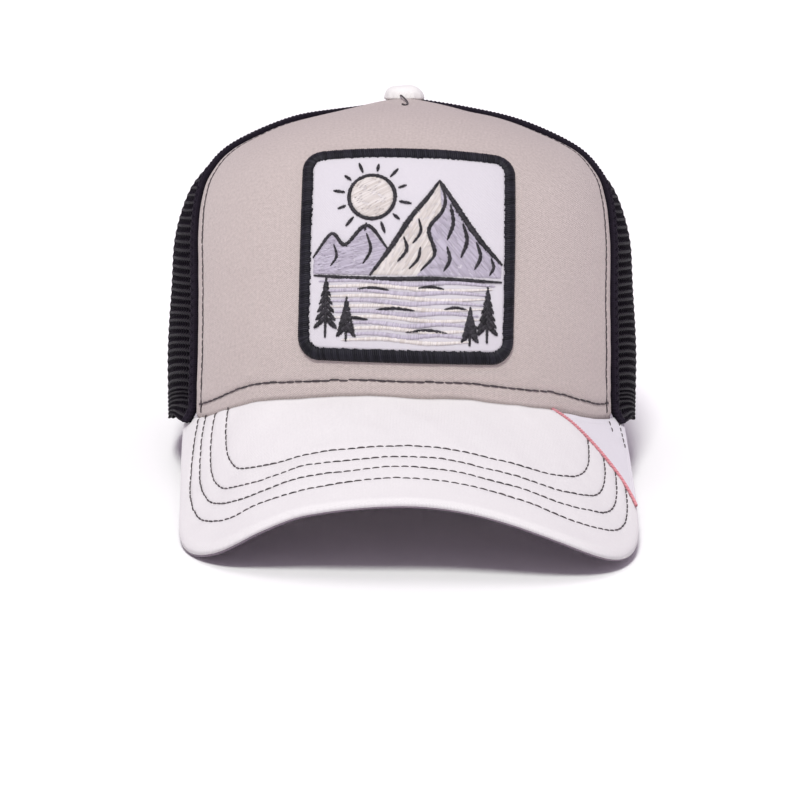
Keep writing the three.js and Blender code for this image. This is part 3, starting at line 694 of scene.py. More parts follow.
def net_panel(side, start, end, seed, arch=False):
    """One panel of net between two bearings, both given for NET_LEVELS."""
    climbs = arc_lengths(crown_point((start + end) / 2, NET_LEVELS))
    bearings, lengths = level_rows(NET_LEVELS, start, end)
    widths = lengths[:, -1]

    def half_width(up):
        return np.interp(up, climbs, widths) / 2

    def row_place(across, level):
        """Bearing at a distance from the middle of the panel on a level."""
        last = len(NET_LEVELS) - 1
        position = np.clip(level / TOP_LEVEL * last, 0, last - 0.001)
        row = position.astype(int)

        def on_row(k):
            flat = across + widths[k] / 2
            index = np.clip((lengths[k] < flat[..., None]).sum(-1), 1, lengths.shape[1] - 1)
            low, high = lengths[k, index - 1], lengths[k, index]
            inner = np.clip((flat - low) / (high - low), 0, 1)
            return lerp(bearings[k, index - 1], bearings[k, index], inner)

        return lerp(on_row(row), on_row(row + 1), position - row)

    def clip(cells):
        across, up = np.moveaxis(cells, -1, 0)
        limit = half_width(up)
        across = np.clip(across, -limit, limit)
        if arch:
            from_middle = limit - across
            power = ARCH["squareness"]
            size = (from_middle / ARCH["half_width"]) ** power + (up / ARCH["height"]) ** power
            size = size ** (1 / power)
            kept = (size > 1).any(1)
            from_middle, up, size = from_middle[kept], up[kept], size[kept]
            push = np.maximum(1 / size, 1)
            up = up * push
            limit = half_width(up)
            across = np.clip(limit - from_middle * push, -limit, limit)
        return np.stack([across, up], -1)

    def place(across, up, out):
        level = np.interp(up, climbs, NET_LEVELS)
        points = flared(row_place(across, level), level, up, out)
        points[..., 0] *= side
        return points

    cells = net_cells(net_rows(climbs[-1]), widths.max() / 2, clip)
    return perforated(cells, place, seed)


def net_side(side, seed):
    start = walk(seam_bearing(NET_LEVELS), NET_LEVELS, GAP / 2)
    return net_panel(side, start, walk(SIDE_SEAM, NET_LEVELS, -GAP / 2), seed)


def net_back(side, seed):
    end = np.full(len(NET_LEVELS), math.pi - MIDDLE_GAP)
    return net_panel(side, walk(SIDE_SEAM, NET_LEVELS, GAP / 2), end, seed, arch=True)


def seam_tapes():
    """Tape sewn inside over the two side seams and the seam at the middle of the back."""
    across = np.linspace(-0.5, 0.5, 5)[None] * SEAM_TAPE["width"]
    made = []
    arch_top = level_above(math.pi, ARCH["height"])
    for bearing, start in ((SIDE_SEAM, 0.0), (-SIDE_SEAM, 0.0), (math.pi, arch_top)):
        levels = np.linspace(start, TOP_LEVEL - 0.5, 120)
        climb = arc_lengths(crown_point(bearing, levels))[:, None]
        turn = walk(bearing, levels[:, None], across)
        outer = on_crown(turn, levels[:, None], -SEAM_TAPE["depth"])
        inner = on_crown(turn, levels[:, None], -SEAM_TAPE["depth"] - SEAM_TAPE["thickness"])
        made.append(wall(outer, inner, flat_place(across, climb)))
    return join(made)


FOLD = {
    "width": 3.3, "height": 1.9, "start": 0.3, "end": 8.72, "fade": (7.2, 8.5), "tip": {-1: 0.25, 1: 0.95},
    "step": 0.36, "ribs": 0.09, "foot": -0.5, "least": 0.1,
}
FOLD_PITS = {"pitch": 3.03, "places": (1.05, 2.35), "across": 0.42, "along": 0.75, "depth": 1.3}


def seam_fold(side):
    """Doubled edge of the net beside the front seam, with the net's cells as two rows of pits."""
    start = level_above(seam_bearing(0), FOLD["start"])
    levels = np.linspace(start, FOLD["end"], 1500)
    climbs = arc_lengths(crown_point(seam_bearing(levels), levels))
    climb = np.linspace(0, climbs[-1], int(climbs[-1] / FOLD["step"]))
    level = np.interp(climb, climbs, levels)
    turn = np.linspace(0, math.pi, 15)
    across = FOLD["width"] / 2 * (1 - np.cos(turn))[None] * np.ones((len(climb), 1))
    size = lerp(1, FOLD["tip"][side], smooth(level, *FOLD["fade"]))[:, None]
    ribs = 1 - FOLD["ribs"] * (1 + np.cos(climb / FOLD_PITS["pitch"] * 4 * math.pi))[:, None]
    pits = 0.0
    for row, place in enumerate(FOLD_PITS["places"]):
        offset = (climb / FOLD_PITS["pitch"] + 0.5 * row) % 1 - 0.5
        along = bump(offset * FOLD_PITS["pitch"], FOLD_PITS["along"])[:, None]
        pits = pits + along * bump(across - place, FOLD_PITS["across"])
    out = GAP + size * (FOLD["height"] * np.sin(turn)[None] ** 0.6 * ribs - FOLD_PITS["depth"] * pits)
    bearing = walk(seam_bearing(level)[:, None], level[:, None], across)
    height = climb[:, None] + FOLD["start"]
    points = flared(bearing, level[:, None], height, np.maximum(out, FOLD["least"]))
    foot = flared(bearing, level[:, None], height, FOLD["foot"])
    for face in (points, foot):
        face[..., 0] *= side
    return wall(points, foot, flat_place(across, climb[:, None]))


# Button

def button():
    """Cloth dome with small pleats where the cloth is drawn in under its edge."""
    seat = SECTIONS[-1, 5] + GAP + BUTTON["lift"]
    turn = np.concatenate([np.linspace(-0.5, 0, 5)[:-1], np.linspace(0, math.pi / 2, 26)])
    around = np.linspace(0, 2 * math.pi, 120, endpoint=False)
    rise = np.where(turn < 0, 1.6 * turn, BUTTON["rise"] * np.sin(np.maximum(turn, 0)))
    radius = (BUTTON["radius"] * np.cos(turn) ** np.where(turn < 0, 1.2, 0.72))[:, None]
    radius[-1] = 0.02
    pleats = 0.5 + 0.5 * np.cos(around * BUTTON["pleats"] + 0.6 * np.sin(around * 3))
    edge = bump(turn - 0.1, 0.35)[:, None] * pleats * BUTTON["pleat"]
    dent = 0.18 * ripple(np.cos(around) * radius, np.sin(around) * radius, 9, 11)
    x = (radius - edge) * np.cos(around)
    y = (radius - edge) * np.sin(around)
    z = seat + rise[:, None] + dent * smooth(turn, 0, 0.6)[:, None]
    outer = np.stack([x + BUTTON["shift"], y, z], -1)
    inner = np.stack([0.8 * x + BUTTON["shift"], 0.8 * y, z - 0.6], -1)
    grids = (outer, inner, flat_place(x, y))
    return wall(*(np.concatenate([grid, grid[:, :1]], 1) for grid in grids))


# Peak

def rim_place(bearing, out):
    step = 0.01
    ahead = np.stack(ring_point(bearing + step, 0 * bearing), -1)
    behind = np.stack(ring_point(bearing - step, 0 * bearing), -1)
    along = unit(ahead - behind)
    x, y = ring_point(bearing, 0 * bearing)
    return np.stack([x + out * along[..., 1], out * along[..., 0] - y], -1)


def peak_edge():
    """Plan points (x, forward) of the peak's outer edge, from its +X corner to the other."""
    start = rim_place(np.array([PEAK["corner"]]), 0)[0]
    front = SECTIONS[0, 0]
    share = np.linspace(0, 1, 40)
    side = np.stack([lerp(start[0] + PEAK["corner_reach"], PEAK["half_width"], np.sin(share * math.pi / 2)),
                     lerp(start[1], front, share)], -1)
    turn = math.pi / 2 * np.linspace(0, 1, 400)[1:] ** 1.6
    halves = []
    for side_power, front_power in (PEAK["right_powers"], PEAK["left_powers"]):
        nose = np.stack([PEAK["half_width"] * np.cos(turn) ** (2 / side_power),
                         front + PEAK["reach"] * np.sin(turn) ** (2 / front_power)], -1)
        halves.append(np.concatenate([side, nose]))
    right, left = halves
    left[:, 0] *= 1 - PEAK["left_trim"] * smooth(left[:, 1], start[1], front)
    return np.concatenate([right, left[-2::-1] * np.array([-1, 1])])


def peak_places(shares, rows):
    """Plan places on ribs from the crown to the peak's outer edge."""
    bearing = lerp(PEAK["corner"], -PEAK["corner"], shares)
    root = rim_place(bearing, GAP)
    edge = peak_edge()
    tip = resample(edge, shares * arc_lengths(edge)[-1])
    return lerp(root[:, None], tip[:, None], rows[None, :, None])


def peak_slope(x, forward):
    """Rise of the peak's upper face for each millimetre towards +X."""
    step = 0.5
    return (peak_height(x + step, forward) - peak_height(x - step, forward)) / (2 * step)


def on_peak(x, forward, depth):
    steepness = np.sqrt(1 + peak_slope(x, forward)**2 + math.tan(PEAK["pitch"]) ** 2)
    return np.stack([x, -forward, peak_height(x, forward) - depth * steepness], -1)


def peak_normal(x, forward):
    slope = peak_slope(x, forward)
    return unit(np.stack([-slope, -math.tan(PEAK["pitch"]) + 0 * slope, 1 + 0 * slope], -1))


def piping_points(shares):
    a, b, c = PIPING_LINE
    t = shares[..., None]
    return (1 - t) ** 2 * a + 2 * t * (1 - t) * b + t**2 * c


def piping_distance(x, forward):
    """Distance from the piping in plan, positive on the side of the corner."""
    line = piping_points(np.linspace(-0.25, 1.25, 91))
    along = unit(np.gradient(line, axis=0))
    flat = np.stack([x.ravel(), forward.ravel()], -1)
    nearest = np.argmin(((flat[:, None] - line[None]) ** 2).sum(-1), 1)
    offset = flat - line[nearest]
    beside = offset[:, 0] * along[nearest, 1] - offset[:, 1] * along[nearest, 0]
    return np.where(x < PIPING_LINE[0, 0] - 3, -PEAK["half_width"], beside.reshape(x.shape))


def stitch_row(number):
    """Plan points of one row of stitches on the peak, from its +X end at the piping."""
    row = dict(zip(STITCH_ROW_COLUMNS, STITCH_ROWS[number]))
    leg = np.linspace(0, 1, 30)
    turn = np.linspace(math.pi / 2, 0, 140)[1:]
    halves = []
    for (side_power, front_power), back in ((ROW_RIGHT_POWERS, 0), (ROW_LEFT_POWERS, row["left_back"])):
        widest = row["widest"] - back
        side = np.stack([lerp(row["root_x"], row["half_width"], np.sin(leg * math.pi / 2)),
                         lerp(row["root"], widest, leg)], -1)
        nose = np.stack([row["half_width"] * np.sin(turn) ** (2 / side_power),
                         widest + (row["front"] - widest) * np.cos(turn) ** (2 / front_power)], -1)
        halves.append(np.concatenate([side, nose]))
    right, left = halves
    full = np.concatenate([right, left[-2::-1] * np.array([-ROW_LEFT_SHARE, 1])])
    flat = full[:, 1] + ROW_SKEW * full[:, 0]
    places = np.stack([full[:, 0], SECTIONS[0, 0] + flat * math.cos(PEAK["pitch"])], -1)
    before_piping = piping_distance(places[:, 0], places[:, 1]) < -PIPING_RADIUS
    return evenly(places[before_piping], 400)


def distance_to_rows(x, forward):
    """Distance in plan to the nearest row of stitches."""
    flat = np.stack([x.ravel(), forward.ravel()], -1)
    best = np.full(len(flat), 1e3)
    for number in range(len(STITCH_ROWS)):
        line = stitch_row(number)[::2]
        for chunk in range(0, len(flat), 4000):
            part = flat[chunk:chunk + 4000]
            gap = np.sqrt(((part[:, None] - line[None]) ** 2).sum(-1)).min(1)
            best[chunk:chunk + 4000] = np.minimum(best[chunk:chunk + 4000], gap)
    return best.reshape(x.shape)


def peak_swell(x, forward):
    return 0.16 * ripple(x, forward, 26, 21) + 0.05 * ripple(x, forward, 9, 22)


def peak():
    """Board with its cloth: shallow channels along the stitches, a rolled edge, a pocket at the corner."""
    shares = np.linspace(0, 1, 250)
    rows = np.concatenate([np.linspace(0, 0.955, 64), 1 - 0.045 * (1 - np.linspace(0, 1, 10)[1:]) ** 1.3])
    places = peak_places(shares, rows)
    x, forward = places[..., 0], places[..., 1]
    from_edge = np.linalg.norm(places - places[:, -1:], axis=-1)
    rise = peak_swell(x, forward) * smooth(from_edge, 0, 8)
    rise -= 0.3 * bump(distance_to_rows(x, forward), 0.75)
    rolled = 1 - np.sqrt(np.clip(1 - (1 - np.clip(from_edge / 1.1, 0, 1)) ** 2, 0, 1))
    rise -= rolled
    pocket = smooth(piping_distance(x, forward), -1.1, -0.5)
    rise = lerp(rise, -(TAB_THICKNESS + GAP), pocket)
    top = on_peak(x, forward, -rise)
    bottom = on_peak(x, forward, PEAK["thickness"] + 0 * x)
    cloth = np.stack([x, forward / math.cos(PEAK["pitch"]) + 1.5 * rolled, 0 * x], -1)
    return wall(top, bottom, cloth)


def lining_swell(x, forward):
    return 0.08 * ripple(x, forward, 15, 23)


def peak_underside():
    places = peak_places(np.linspace(0, 1, 150), np.linspace(0, LINING_REACH, 30))
    x, forward = places[..., 0], places[..., 1]
    top = PEAK["thickness"] + GAP
    from_edge = np.linalg.norm(places - places[:, -1:], axis=-1)
    dip = 0.25 * bump(distance_to_rows(x, forward), 0.9) + 0.35 * (1 - smooth(from_edge, 0, 1.4))
    upper = on_peak(x, forward, top + 0 * x)
    swell = lining_swell(x, forward) * smooth(from_edge, 0, 8)
    lower = on_peak(x, forward, top + PEAK["underside"] - dip + swell)
    return wall(lower, upper, np.stack([x, forward, 0 * x], -1))


def corner_places(shares, rows):
    """Plan places between the piping and the outside of the peak's corner."""
    inner = piping_points(lerp(0.02, 0.985, shares))
    rim = rim_place(np.linspace(radians(32.3), PEAK["corner"], 60), GAP)
    edge = evenly(peak_edge(), 1200)
    edge = edge[(edge[:, 1] < 101.6) & (edge[:, 0] > 0)]
    outside = np.concatenate([rim, edge])
    outer = resample(outside, shares * arc_lengths(outside)[-1])
    outer = outer - unit(outer - inner) * 0.3
    return lerp(inner[:, None], outer[:, None], rows[None, :, None])


def corner_tab():
    places = corner_places(np.linspace(0, 1, 90), np.linspace(0, 1, 30))
    x, forward = places[..., 0], places[..., 1]
    from_edge = np.linalg.norm(places - places[:, -1:], axis=-1)
    rise = 0.07 * ripple(x, forward, 11, 31) - 0.6 * (1 - smooth(from_edge, 0, 1.0)) ** 2
    rise -= 0.2 * bump(from_edge - 2.3, 0.5) + 0.2 * bump(from_edge - 5.2, 0.5)
    top = on_peak(x, forward, 0.05 - rise)
    bottom = on_peak(x, forward, TAB_THICKNESS + 0 * x)
    return wall(top, bottom, np.stack([x, forward, 0 * x], -1))


def corner_piping():
    """Two strands twisted round each other."""
    shares = np.linspace(0.0, 0.985, 320)
    line = piping_points(shares)
    x, forward = line[:, 0], line[:, 1]
    centre = on_peak(x, forward, TAB_THICKNESS - PIPING_RADIUS - 0.05 + 0 * x)
    beside, above = path_frames(centre[None], peak_normal(x, forward)[None])
    length = arc_lengths(centre)
    made = []
    for phase in (0, math.pi):
        turn = length / 1.9 * 2 * math.pi + phase
        offset = 0.3 * (np.cos(turn)[:, None] * beside[0] + np.sin(turn)[:, None] * above[0])
        size = 0.38 * np.ones((1, len(x)))
        cloth = np.stack([length, 0 * length, 0.35 + 0.3 * phase / math.pi + 0 * length], -1)
        made.append(strands((centre + offset)[None], beside, above, size, size, cloth[None], corners=8))
    return join(made)


# Patch

def front_climbs():
    levels = np.linspace(0, TOP_LEVEL, 400)
    return levels, arc_lengths(crown_point(0 * levels, levels))


FRONT_LEVELS, FRONT_CLIMBS = front_climbs()


def patch_place(across, up):
    """Bearing and level of a place on the patch, whose upper rows droop a little at their ends."""
    up = up - PATCH["droop"] * (across / PATCH["half"]) ** 2 * smooth(up, -PATCH["half"], PATCH["half"])
    x = across * math.cos(PATCH["turn"]) - up * math.sin(PATCH["turn"])
    y = across * math.sin(PATCH["turn"]) + up * math.cos(PATCH["turn"])
    level = np.interp(PATCH["climb"] + y, FRONT_CLIMBS, FRONT_LEVELS)
    bearing = walk(0 * level, level, PATCH["across"] + x)
    sag = (rim_height(0 * bearing) - rim_height(bearing)) * wave_share(level)
    height = crown_point(bearing, level)[..., 2] + sag
    return bearing, solve(lambda trial: crown_point(bearing, trial)[..., 2], height, 0, TOP_LEVEL)


def on_patch(across, up, out):
    bearing, level = patch_place(across, up)
    return on_crown(bearing, level, out)


def rounded_square(half, corner, count):
    """Points round a square with round corners, evenly spaced, and the outward directions."""
    straight = half - corner
    points = []
    for quarter in range(4):
        turn = quarter * math.pi / 2
        for bend in np.linspace(0, math.pi / 2, 24):
            place = np.array([straight + corner * math.cos(bend), straight + corner * math.sin(bend)])
            spin = np.array([[math.cos(turn), -math.sin(turn)], [math.sin(turn), math.cos(turn)]])
            points.append(spin @ place)
    points.append(points[0])
    path = evenly(np.array(points), count + 1)[:-1]
    along = unit(np.roll(path, -1, 0) - np.roll(path, 1, 0))
    return path, np.stack([along[:, 1], -along[:, 0]], -1)


def patch_field():
    reach = PATCH["half"] - BORDER_WIDTH + 0.4
    line = np.linspace(-reach, reach, 64)
    across, up = np.meshgrid(line, line)
    keep_round = PATCH["corner"] - BORDER_WIDTH + 0.4
    straight = reach - keep_round
    over_x = np.maximum(np.abs(across) - straight, 0)
    over_y = np.maximum(np.abs(up) - straight, 0)
    far = np.hypot(over_x, over_y)
    larger = np.maximum(over_x, over_y)
    squeeze = np.where(far > 1e-6, larger / np.maximum(far, 1e-6), 1)
    across = np.sign(across) * (np.minimum(np.abs(across), straight) + over_x * squeeze)
    up = np.sign(up) * (np.minimum(np.abs(up), straight) + over_y * squeeze)
    top = on_patch(across, up, GAP + PATCH_CLOTH + 0.05 * ripple(across, up, 12, 41))
    foot = on_patch(across, up, GAP + 0 * across)
    return wall(top, foot, np.stack([across, up, 0 * up], -1))


def patch_border():
    """Thick thread wound closely over the edge of the patch, on a padded core."""
    random = np.random.default_rng(5)
    path, outward = rounded_square(PATCH["half"], PATCH["corner"], 420)
    lean = np.linspace(-0.12, math.pi + 0.12, 9)
    reach = BORDER_WIDTH * (1 + random.normal(0, 0.045, (len(path), 1)) * smooth(lean, 1.6, 3.1))
    inset = reach * (1 - np.cos(lean)) / 2
    slant = np.stack([-outward[:, 1], outward[:, 0]], -1)
    flat = path[:, None] - outward[:, None] * inset[..., None]
    flat = flat + slant[:, None] * (0.5 * np.cos(lean))[None, :, None]
    uneven = 1 + random.normal(0, 0.035, (len(path), 1))
    out = np.maximum(GAP + BORDER_HEIGHT * np.abs(np.sin(lean)) ** 0.75 * uneven - 0.2, GAP * 0.6)
    bearing, level = patch_place(flat[..., 0], flat[..., 1])
    centres = on_crown(bearing, level, out)
    beside = np.roll(centres, -1, 0) - np.roll(centres, 1, 0)
    along = np.gradient(centres, axis=1)
    above = unit(np.cross(along, beside))
    beside = unit(beside)
    size = np.full(out.shape, 0.43)
    tone = np.repeat(random.uniform(0, 1, (len(path), 1)), len(lean), 1)
    cloth = np.stack([arc_lengths(centres), 0 * size, tone], -1)
    cord = strands(centres, beside, above, size, size * 0.8, cloth, corners=5)
    core_out = np.maximum(out - 0.32, GAP * 0.5)
    core_top = on_crown(bearing, level, core_out)
    core_foot = on_crown(bearing, level, 0.1 + 0 * core_out)
    core = wall(core_top, core_foot, cloth, ring=True)
    return join([cord, core])


# Embroidery: fills of parallel threads and satin strokes whose threads run across the stroke

THREAD = 0.44
CURVE_POINTS = 60
FIELD_TOP = GAP + PATCH_CLOTH


def rows_inside(outline, heading, pitch):
    """Straight runs inside an outline, a pitch apart, each from one side to the other."""
    turn = np.array([[math.cos(heading), math.sin(heading)], [-math.sin(heading), math.cos(heading)]])
    shape = np.asarray(outline, float) @ turn.T
    following = np.roll(shape, -1, 0)
    runs = []
    for level in np.arange(shape[:, 1].min() + pitch / 2, shape[:, 1].max(), pitch):
        crosses = (shape[:, 1] > level) != (following[:, 1] > level)
        share = (level - shape[crosses, 1]) / (following[crosses, 1] - shape[crosses, 1])
        at = np.sort(lerp(shape[crosses, 0], following[crosses, 0], share))
        for start, end in zip(at[::2], at[1::2]):
            if end - start > 0.6:
                runs.append(((start, level), (end, level)))
    return np.array(runs).reshape(-1, 2, 2) @ turn


def threads_between(ends, rise, seed, lift=0.0):
    """Threads between pairs of places on the patch, standing up in the middle."""
    random = np.random.default_rng(seed)
    share = np.array([0, 0.16, 0.5, 0.84, 1])
    length = np.linalg.norm(ends[:, 1] - ends[:, 0], axis=-1)
    flat = lerp(ends[:, :1], ends[:, 1:], share[None, :, None])
    arch = (1 - np.abs(2 * share - 1) ** 2.6)[None] * np.broadcast_to(rise, length.shape)[:, None]
    out = FIELD_TOP + lift + arch + random.normal(0, 0.025, (len(ends), 1))
    bearing, level = patch_place(flat[..., 0], flat[..., 1])
    centres = on_crown(bearing, level, out)
    beside, above = path_frames(centres, crown_normal(bearing, level))
    taper = np.array([0.45, 0.95, 1, 0.95, 0.45])[None] * np.ones((len(ends), 1))
    tone = random.uniform(0, 1, (len(ends), 1)) * np.ones((1, len(share)))
    cloth = np.stack([length[:, None] * share, 0 * taper, tone], -1)
    return strands(centres, beside, above, 0.56 * THREAD * taper, 0.45 * THREAD * taper, cloth, corners=5)


def fill(outline, heading, seed):
    """Filled area: rows of threads broken into stitches that don't line up."""
    random = np.random.default_rng(seed)
    stitch = 6.0
    ends = []
    for start, end in rows_inside(outline, heading, THREAD):
        length = np.linalg.norm(end - start)
        cuts = np.arange(random.uniform(0.3, 1.0) * stitch, length - 1.0, stitch)
        places = np.concatenate([[0], cuts, [length]]) / length
        ends += [(lerp(start, end, a), lerp(start, end, b)) for a, b in zip(places[:-1], places[1:])]
    return threads_between(np.array(ends), 0.22, seed)


def curve_through(points):
    """Smooth line through a few places."""
    points = np.asarray(points, float)
    padded = extended(points)
    t = np.linspace(0, 1, 16, endpoint=False)[:, None]
    pieces = [spline(*four, t) for four in zip(padded, padded[1:], padded[2:], padded[3:])]
    return evenly(np.concatenate(pieces + [points[-1:]]), CURVE_POINTS)


def satin(points, width, seed, ends=0.35, curved=True, lift=0.15):
    """Satin stroke along a line, narrowing to a share of its width at both ends."""
    line = curve_through(points) if curved else np.asarray(points, float)
    length = arc_lengths(line)[-1]
    count = max(int(length / (THREAD * 0.86)), 3)
    path = evenly(line, count)
    along = unit(np.gradient(path, axis=0))
    across = np.stack([-along[:, 1], along[:, 0]], -1) + 0.18 * along
    share = np.linspace(0, 1, count)
    ragged = 1 + np.random.default_rng(seed).normal(0, 0.11, count)
    size = width / 2 * lerp(ends, 1, np.sin(share * math.pi) ** 0.6) * ragged
    pairs = np.stack([path - across * size[:, None], path + across * size[:, None]], 1)
    return threads_between(pairs, 0.2 + 0.22 * size, seed, lift)


def circle(middle, radius):
    turn = np.linspace(0, 2 * math.pi, 48, endpoint=False)
    return np.stack([middle[0] + radius * np.cos(turn), middle[1] + radius * np.sin(turn)], -1)


def pine(foot, height, width, seed):
    """Small tree of satin boughs that droop from the trunk."""
    x, y = foot
    made = [satin([(x, y), (x, y + height)], 1.1, seed, 0.6, curved=False, lift=0.1)]
    layers = 6
    for layer in range(layers):
        share = layer / layers
        reach = width / 2 * (1 - share) ** 0.8
        top = y + height * (0.26 + 0.74 * share)
        for way in (-1, 1):
            tip = (x + way * reach, top - 2.3 + share)
            middle = (x + way * reach * 0.45, top - 0.3)
            made.append(satin([(x, top + 1.6), middle, tip], 1.9 - share, seed + 7 * layer + way, 0.3))
    return made


# The landscape on the patch, in places (across, up) from the patch's middle.
SUN = (-13.0, 19.0)
SUN_RADIUS = 7.6
FAR_RANGE = ((-33.5, -3), (-27, 5.5), (-22, 1.5), (-14.5, 8.5), (-7, 0), (-13, -9), (-33.5, -9))
PEAK_LIT = (
    (10.5, 25.5), (6.5, 19), (1, 12), (-5.5, 1.5), (-13, -9), (3, -9), (9, -1), (6.5, 7), (11.5, 14),
)
PEAK_SHADE = (
    (10.5, 25.5), (11.5, 14), (6.5, 7), (9, -1), (3, -9), (33.5, -9), (33.5, -4), (26, 3.5), (19, 12.5),
)
# Lines of the mountains and the shore, each with its width.
RIDGES = (
    (2.0, (-13, -9), (-5.5, 1.5), (1, 12), (6.5, 19), (10.5, 25.5)),
    (2.3, (10.5, 25.5), (19, 12.5), (26, 3.5), (33.5, -4)),
    (1.5, (10.5, 25.5), (12.5, 19), (11.5, 14), (7, 7.5), (9.2, -1), (4.5, -7)),
    (1.5, (14.5, 16.5), (15.5, 10), (13.5, 4)),
    (1.6, (19, 10), (20.5, 4), (18.5, -2)),
    (1.5, (24, 3.5), (25.5, -1.5), (23.5, -6)),
    (1.4, (13.5, 1.5), (14.5, -3), (12.5, -7)),
    (1.2, (3.5, 11), (4.2, 6.5), (1.6, 2.5)),
    (1.3, (-1.5, 4.5), (-0.5, 0), (-3.5, -4)),
    (1.2, (4.2, 1), (3.4, -3), (0.5, -6.5)),
    (1.2, (29.5, -2), (30.5, -5), (29, -8)),
    (1.4, (-33.5, -3), (-27, 5.5), (-22, 1.5), (-14.5, 8.5), (-7, 0.2)),
    (1.0, (-26, 1.5), (-25, -2.5), (-27, -6)),
    (1.1, (-14.5, 5.5), (-13, 0), (-15.5, -5)),
    (1.6, (-33, -9.6), (-11, -10.3), (11, -9.8), (33.5, -10.4)),
)
LAKE_ROWS = (-12.0, -15.4, -18.9, -22.6, -26.4, -30.2)
# One wave of each colour: shares of its half length, and heights above its row.
CREAM_WAVE = ((-1, -1.5), (-1 / 3, -0.7), (1 / 3, -1.9), (1, -1.1))
GREY_WAVE = ((-1, 0.4), (-0.5, 1.1), (0, 0), (0.5, 1.0), (1, 0.2))
# Middle, height and length of each dark wave.
DARK_WAVES = (
    (-12, -14.2, 11), (8, -13.4, 9), (-4, -21, 13), (17, -20.4, 8), (-18, -24.6, 9), (7, -28.4, 14),
    (24, -27, 6),
)
# Foot, height and width of each tree.
PINES = (
    ((-28.5, -31), 21, 8), ((-21.0, -32), 15, 6.5), ((28.5, -31.5), 19, 7.5), ((22.2, -32.5), 13, 6),
)


def waves(wave, reach, shorter, width, seed, ends, lift):
    """Satin waves over the lake, each row shorter than the one above it."""
    made = []
    for number, up in enumerate(LAKE_ROWS):
        half = reach - shorter * number
        line = [(share * half, up + rise) for share, rise in wave]
        made.append(satin(line, width, seed + number, ends, lift=lift))
    return made


def cream_threads():
    made = [fill(circle(SUN, SUN_RADIUS), 0.5, 60), fill(PEAK_LIT, 1.05, 61)]
    return join(made + waves(CREAM_WAVE, 30, 1.5, 1.5, 70, 0.2, 0.0))


def grey_threads():
    made = [fill(PEAK_SHADE, -0.85, 62), fill(FAR_RANGE, 0.25, 63)]
    return join(made + waves(GREY_WAVE, 31, 2, 1.6, 80, 0.25, 0.05))


def sun_rays():
    ring = circle(SUN, SUN_RADIUS + 0.5)
    made = [satin(np.concatenate([ring, ring[:1]]), 1.3, 90, 1.0, curved=False)]
    for number, heading in enumerate(np.linspace(0.35, 2 * math.pi + 0.35, 12, endpoint=False)):
        away = np.array([math.cos(heading), math.sin(heading)])
        reaches = (SUN_RADIUS + 2.3, SUN_RADIUS + 5.0 + 1.2 * (number % 2))
        made.append(satin([away * reach + SUN for reach in reaches], 1.1, 91 + number, 0.4, curved=False))
    return made


def black_threads():
    made = sun_rays()
    made += [satin(points, width, 110 + number, 0.3) for number, (width, *points) in enumerate(RIDGES)]
    for number, (x, up, length) in enumerate(DARK_WAVES):
        line = [(x - length / 2, up), (x, up + 0.7), (x + length / 2, up)]
        made.append(satin(line, 1.2, 140 + number, 0.2))
    for number, tree in enumerate(PINES):
        made += pine(*tree, 200 + 40 * number)
    return join(made)


# Sweatband, binding and strap

BAND_EASE = {"front_from": 60, "front_to": 74, "back_from": 126, "back_to": 140}


def band_depth(bearing):
    turn = np.degrees(np.abs(bearing))
    past_panel = smooth(turn, BAND_EASE["front_from"], BAND_EASE["front_to"])
    beside = lerp(FOAM + GAP, NET_THICKNESS + GAP, past_panel)
    behind = BINDING["depth"] + GAP + STRAP["thickness"] + GAP
    return lerp(beside, behind, smooth(turn, BAND_EASE["back_from"], BAND_EASE["back_to"]))


def rim_band(bearings, depth, thickness, low, high, rows, relief):
    """Upright band inside the rim. The relief moves its outer and inner face into the wall."""
    heights = np.linspace(low, high, rows)
    turn = np.repeat(bearings[:, None], rows, 1)
    height = np.repeat(heights[None], len(bearings), 0)
    levels = level_above(turn, height)
    around = np.repeat(arc_lengths(crown_point(bearings, 0 * bearings))[:, None], rows, 1)
    first, second = relief(around, height)
    outer = on_crown(turn, levels, -depth(turn) - first)
    inner = on_crown(turn, levels, -depth(turn) - thickness + second)
    return wall(outer, inner, np.stack([around, height, 0 * around], -1))


def sweatband():
    low = SWEATBAND["lift"]
    high = low + SWEATBAND["height"]

    def relief(around, height):
        soft = 0.35 * (1 - smooth(np.minimum(height - low, high - height), 0, 1.5))
        seam = 0.3 * bump(height - high + SWEATBAND["high_seam"], 0.6)
        seam = seam + 0.3 * bump(height - low - SWEATBAND["low_seam"], 0.6)
        waves = 0.12 + 0.1 * ripple(around, height, 15, 51)
        return soft, soft + seam + waves

    bearings = np.linspace(-SWEATBAND["end"], SWEATBAND["end"], 300)
    return rim_band(bearings, band_depth, SWEATBAND["thickness"], low, high, 28, relief)


def strap_end():
    return float(arch_place(np.zeros(1), 0.0)[0][0]) - STRAP["overlap"]


def snap_strap():
    """Moulded strap with a soft edge and a row of studs sunk in its face."""
    low = STRAP["foot"]
    high = STRAP["height"]

    def relief(around, up):
        soft = 0.4 * (1 - smooth(np.minimum(up - low, high - up), 0, 1.2)) ** 2
        from_middle = np.abs(around - around.max() / 2)
        pitch = STRAP["stud_pitch"]
        offset = (from_middle + pitch / 2) % pitch - pitch / 2
        ring = np.hypot(offset, up - (low + high) / 2)
        studs = 0.35 * bump(ring - STRAP["stud_radius"], 0.45) * (from_middle < STRAP["stud_reach"])
        return soft + studs, soft + studs

    end = strap_end()
    bearings = np.linspace(end, 2 * math.pi - end, 340)
    return rim_band(bearings, strap_depth, STRAP["thickness"], low, high, 24, relief)


def strap_depth(bearing):
    return BINDING["depth"] + GAP + 0 * bearing


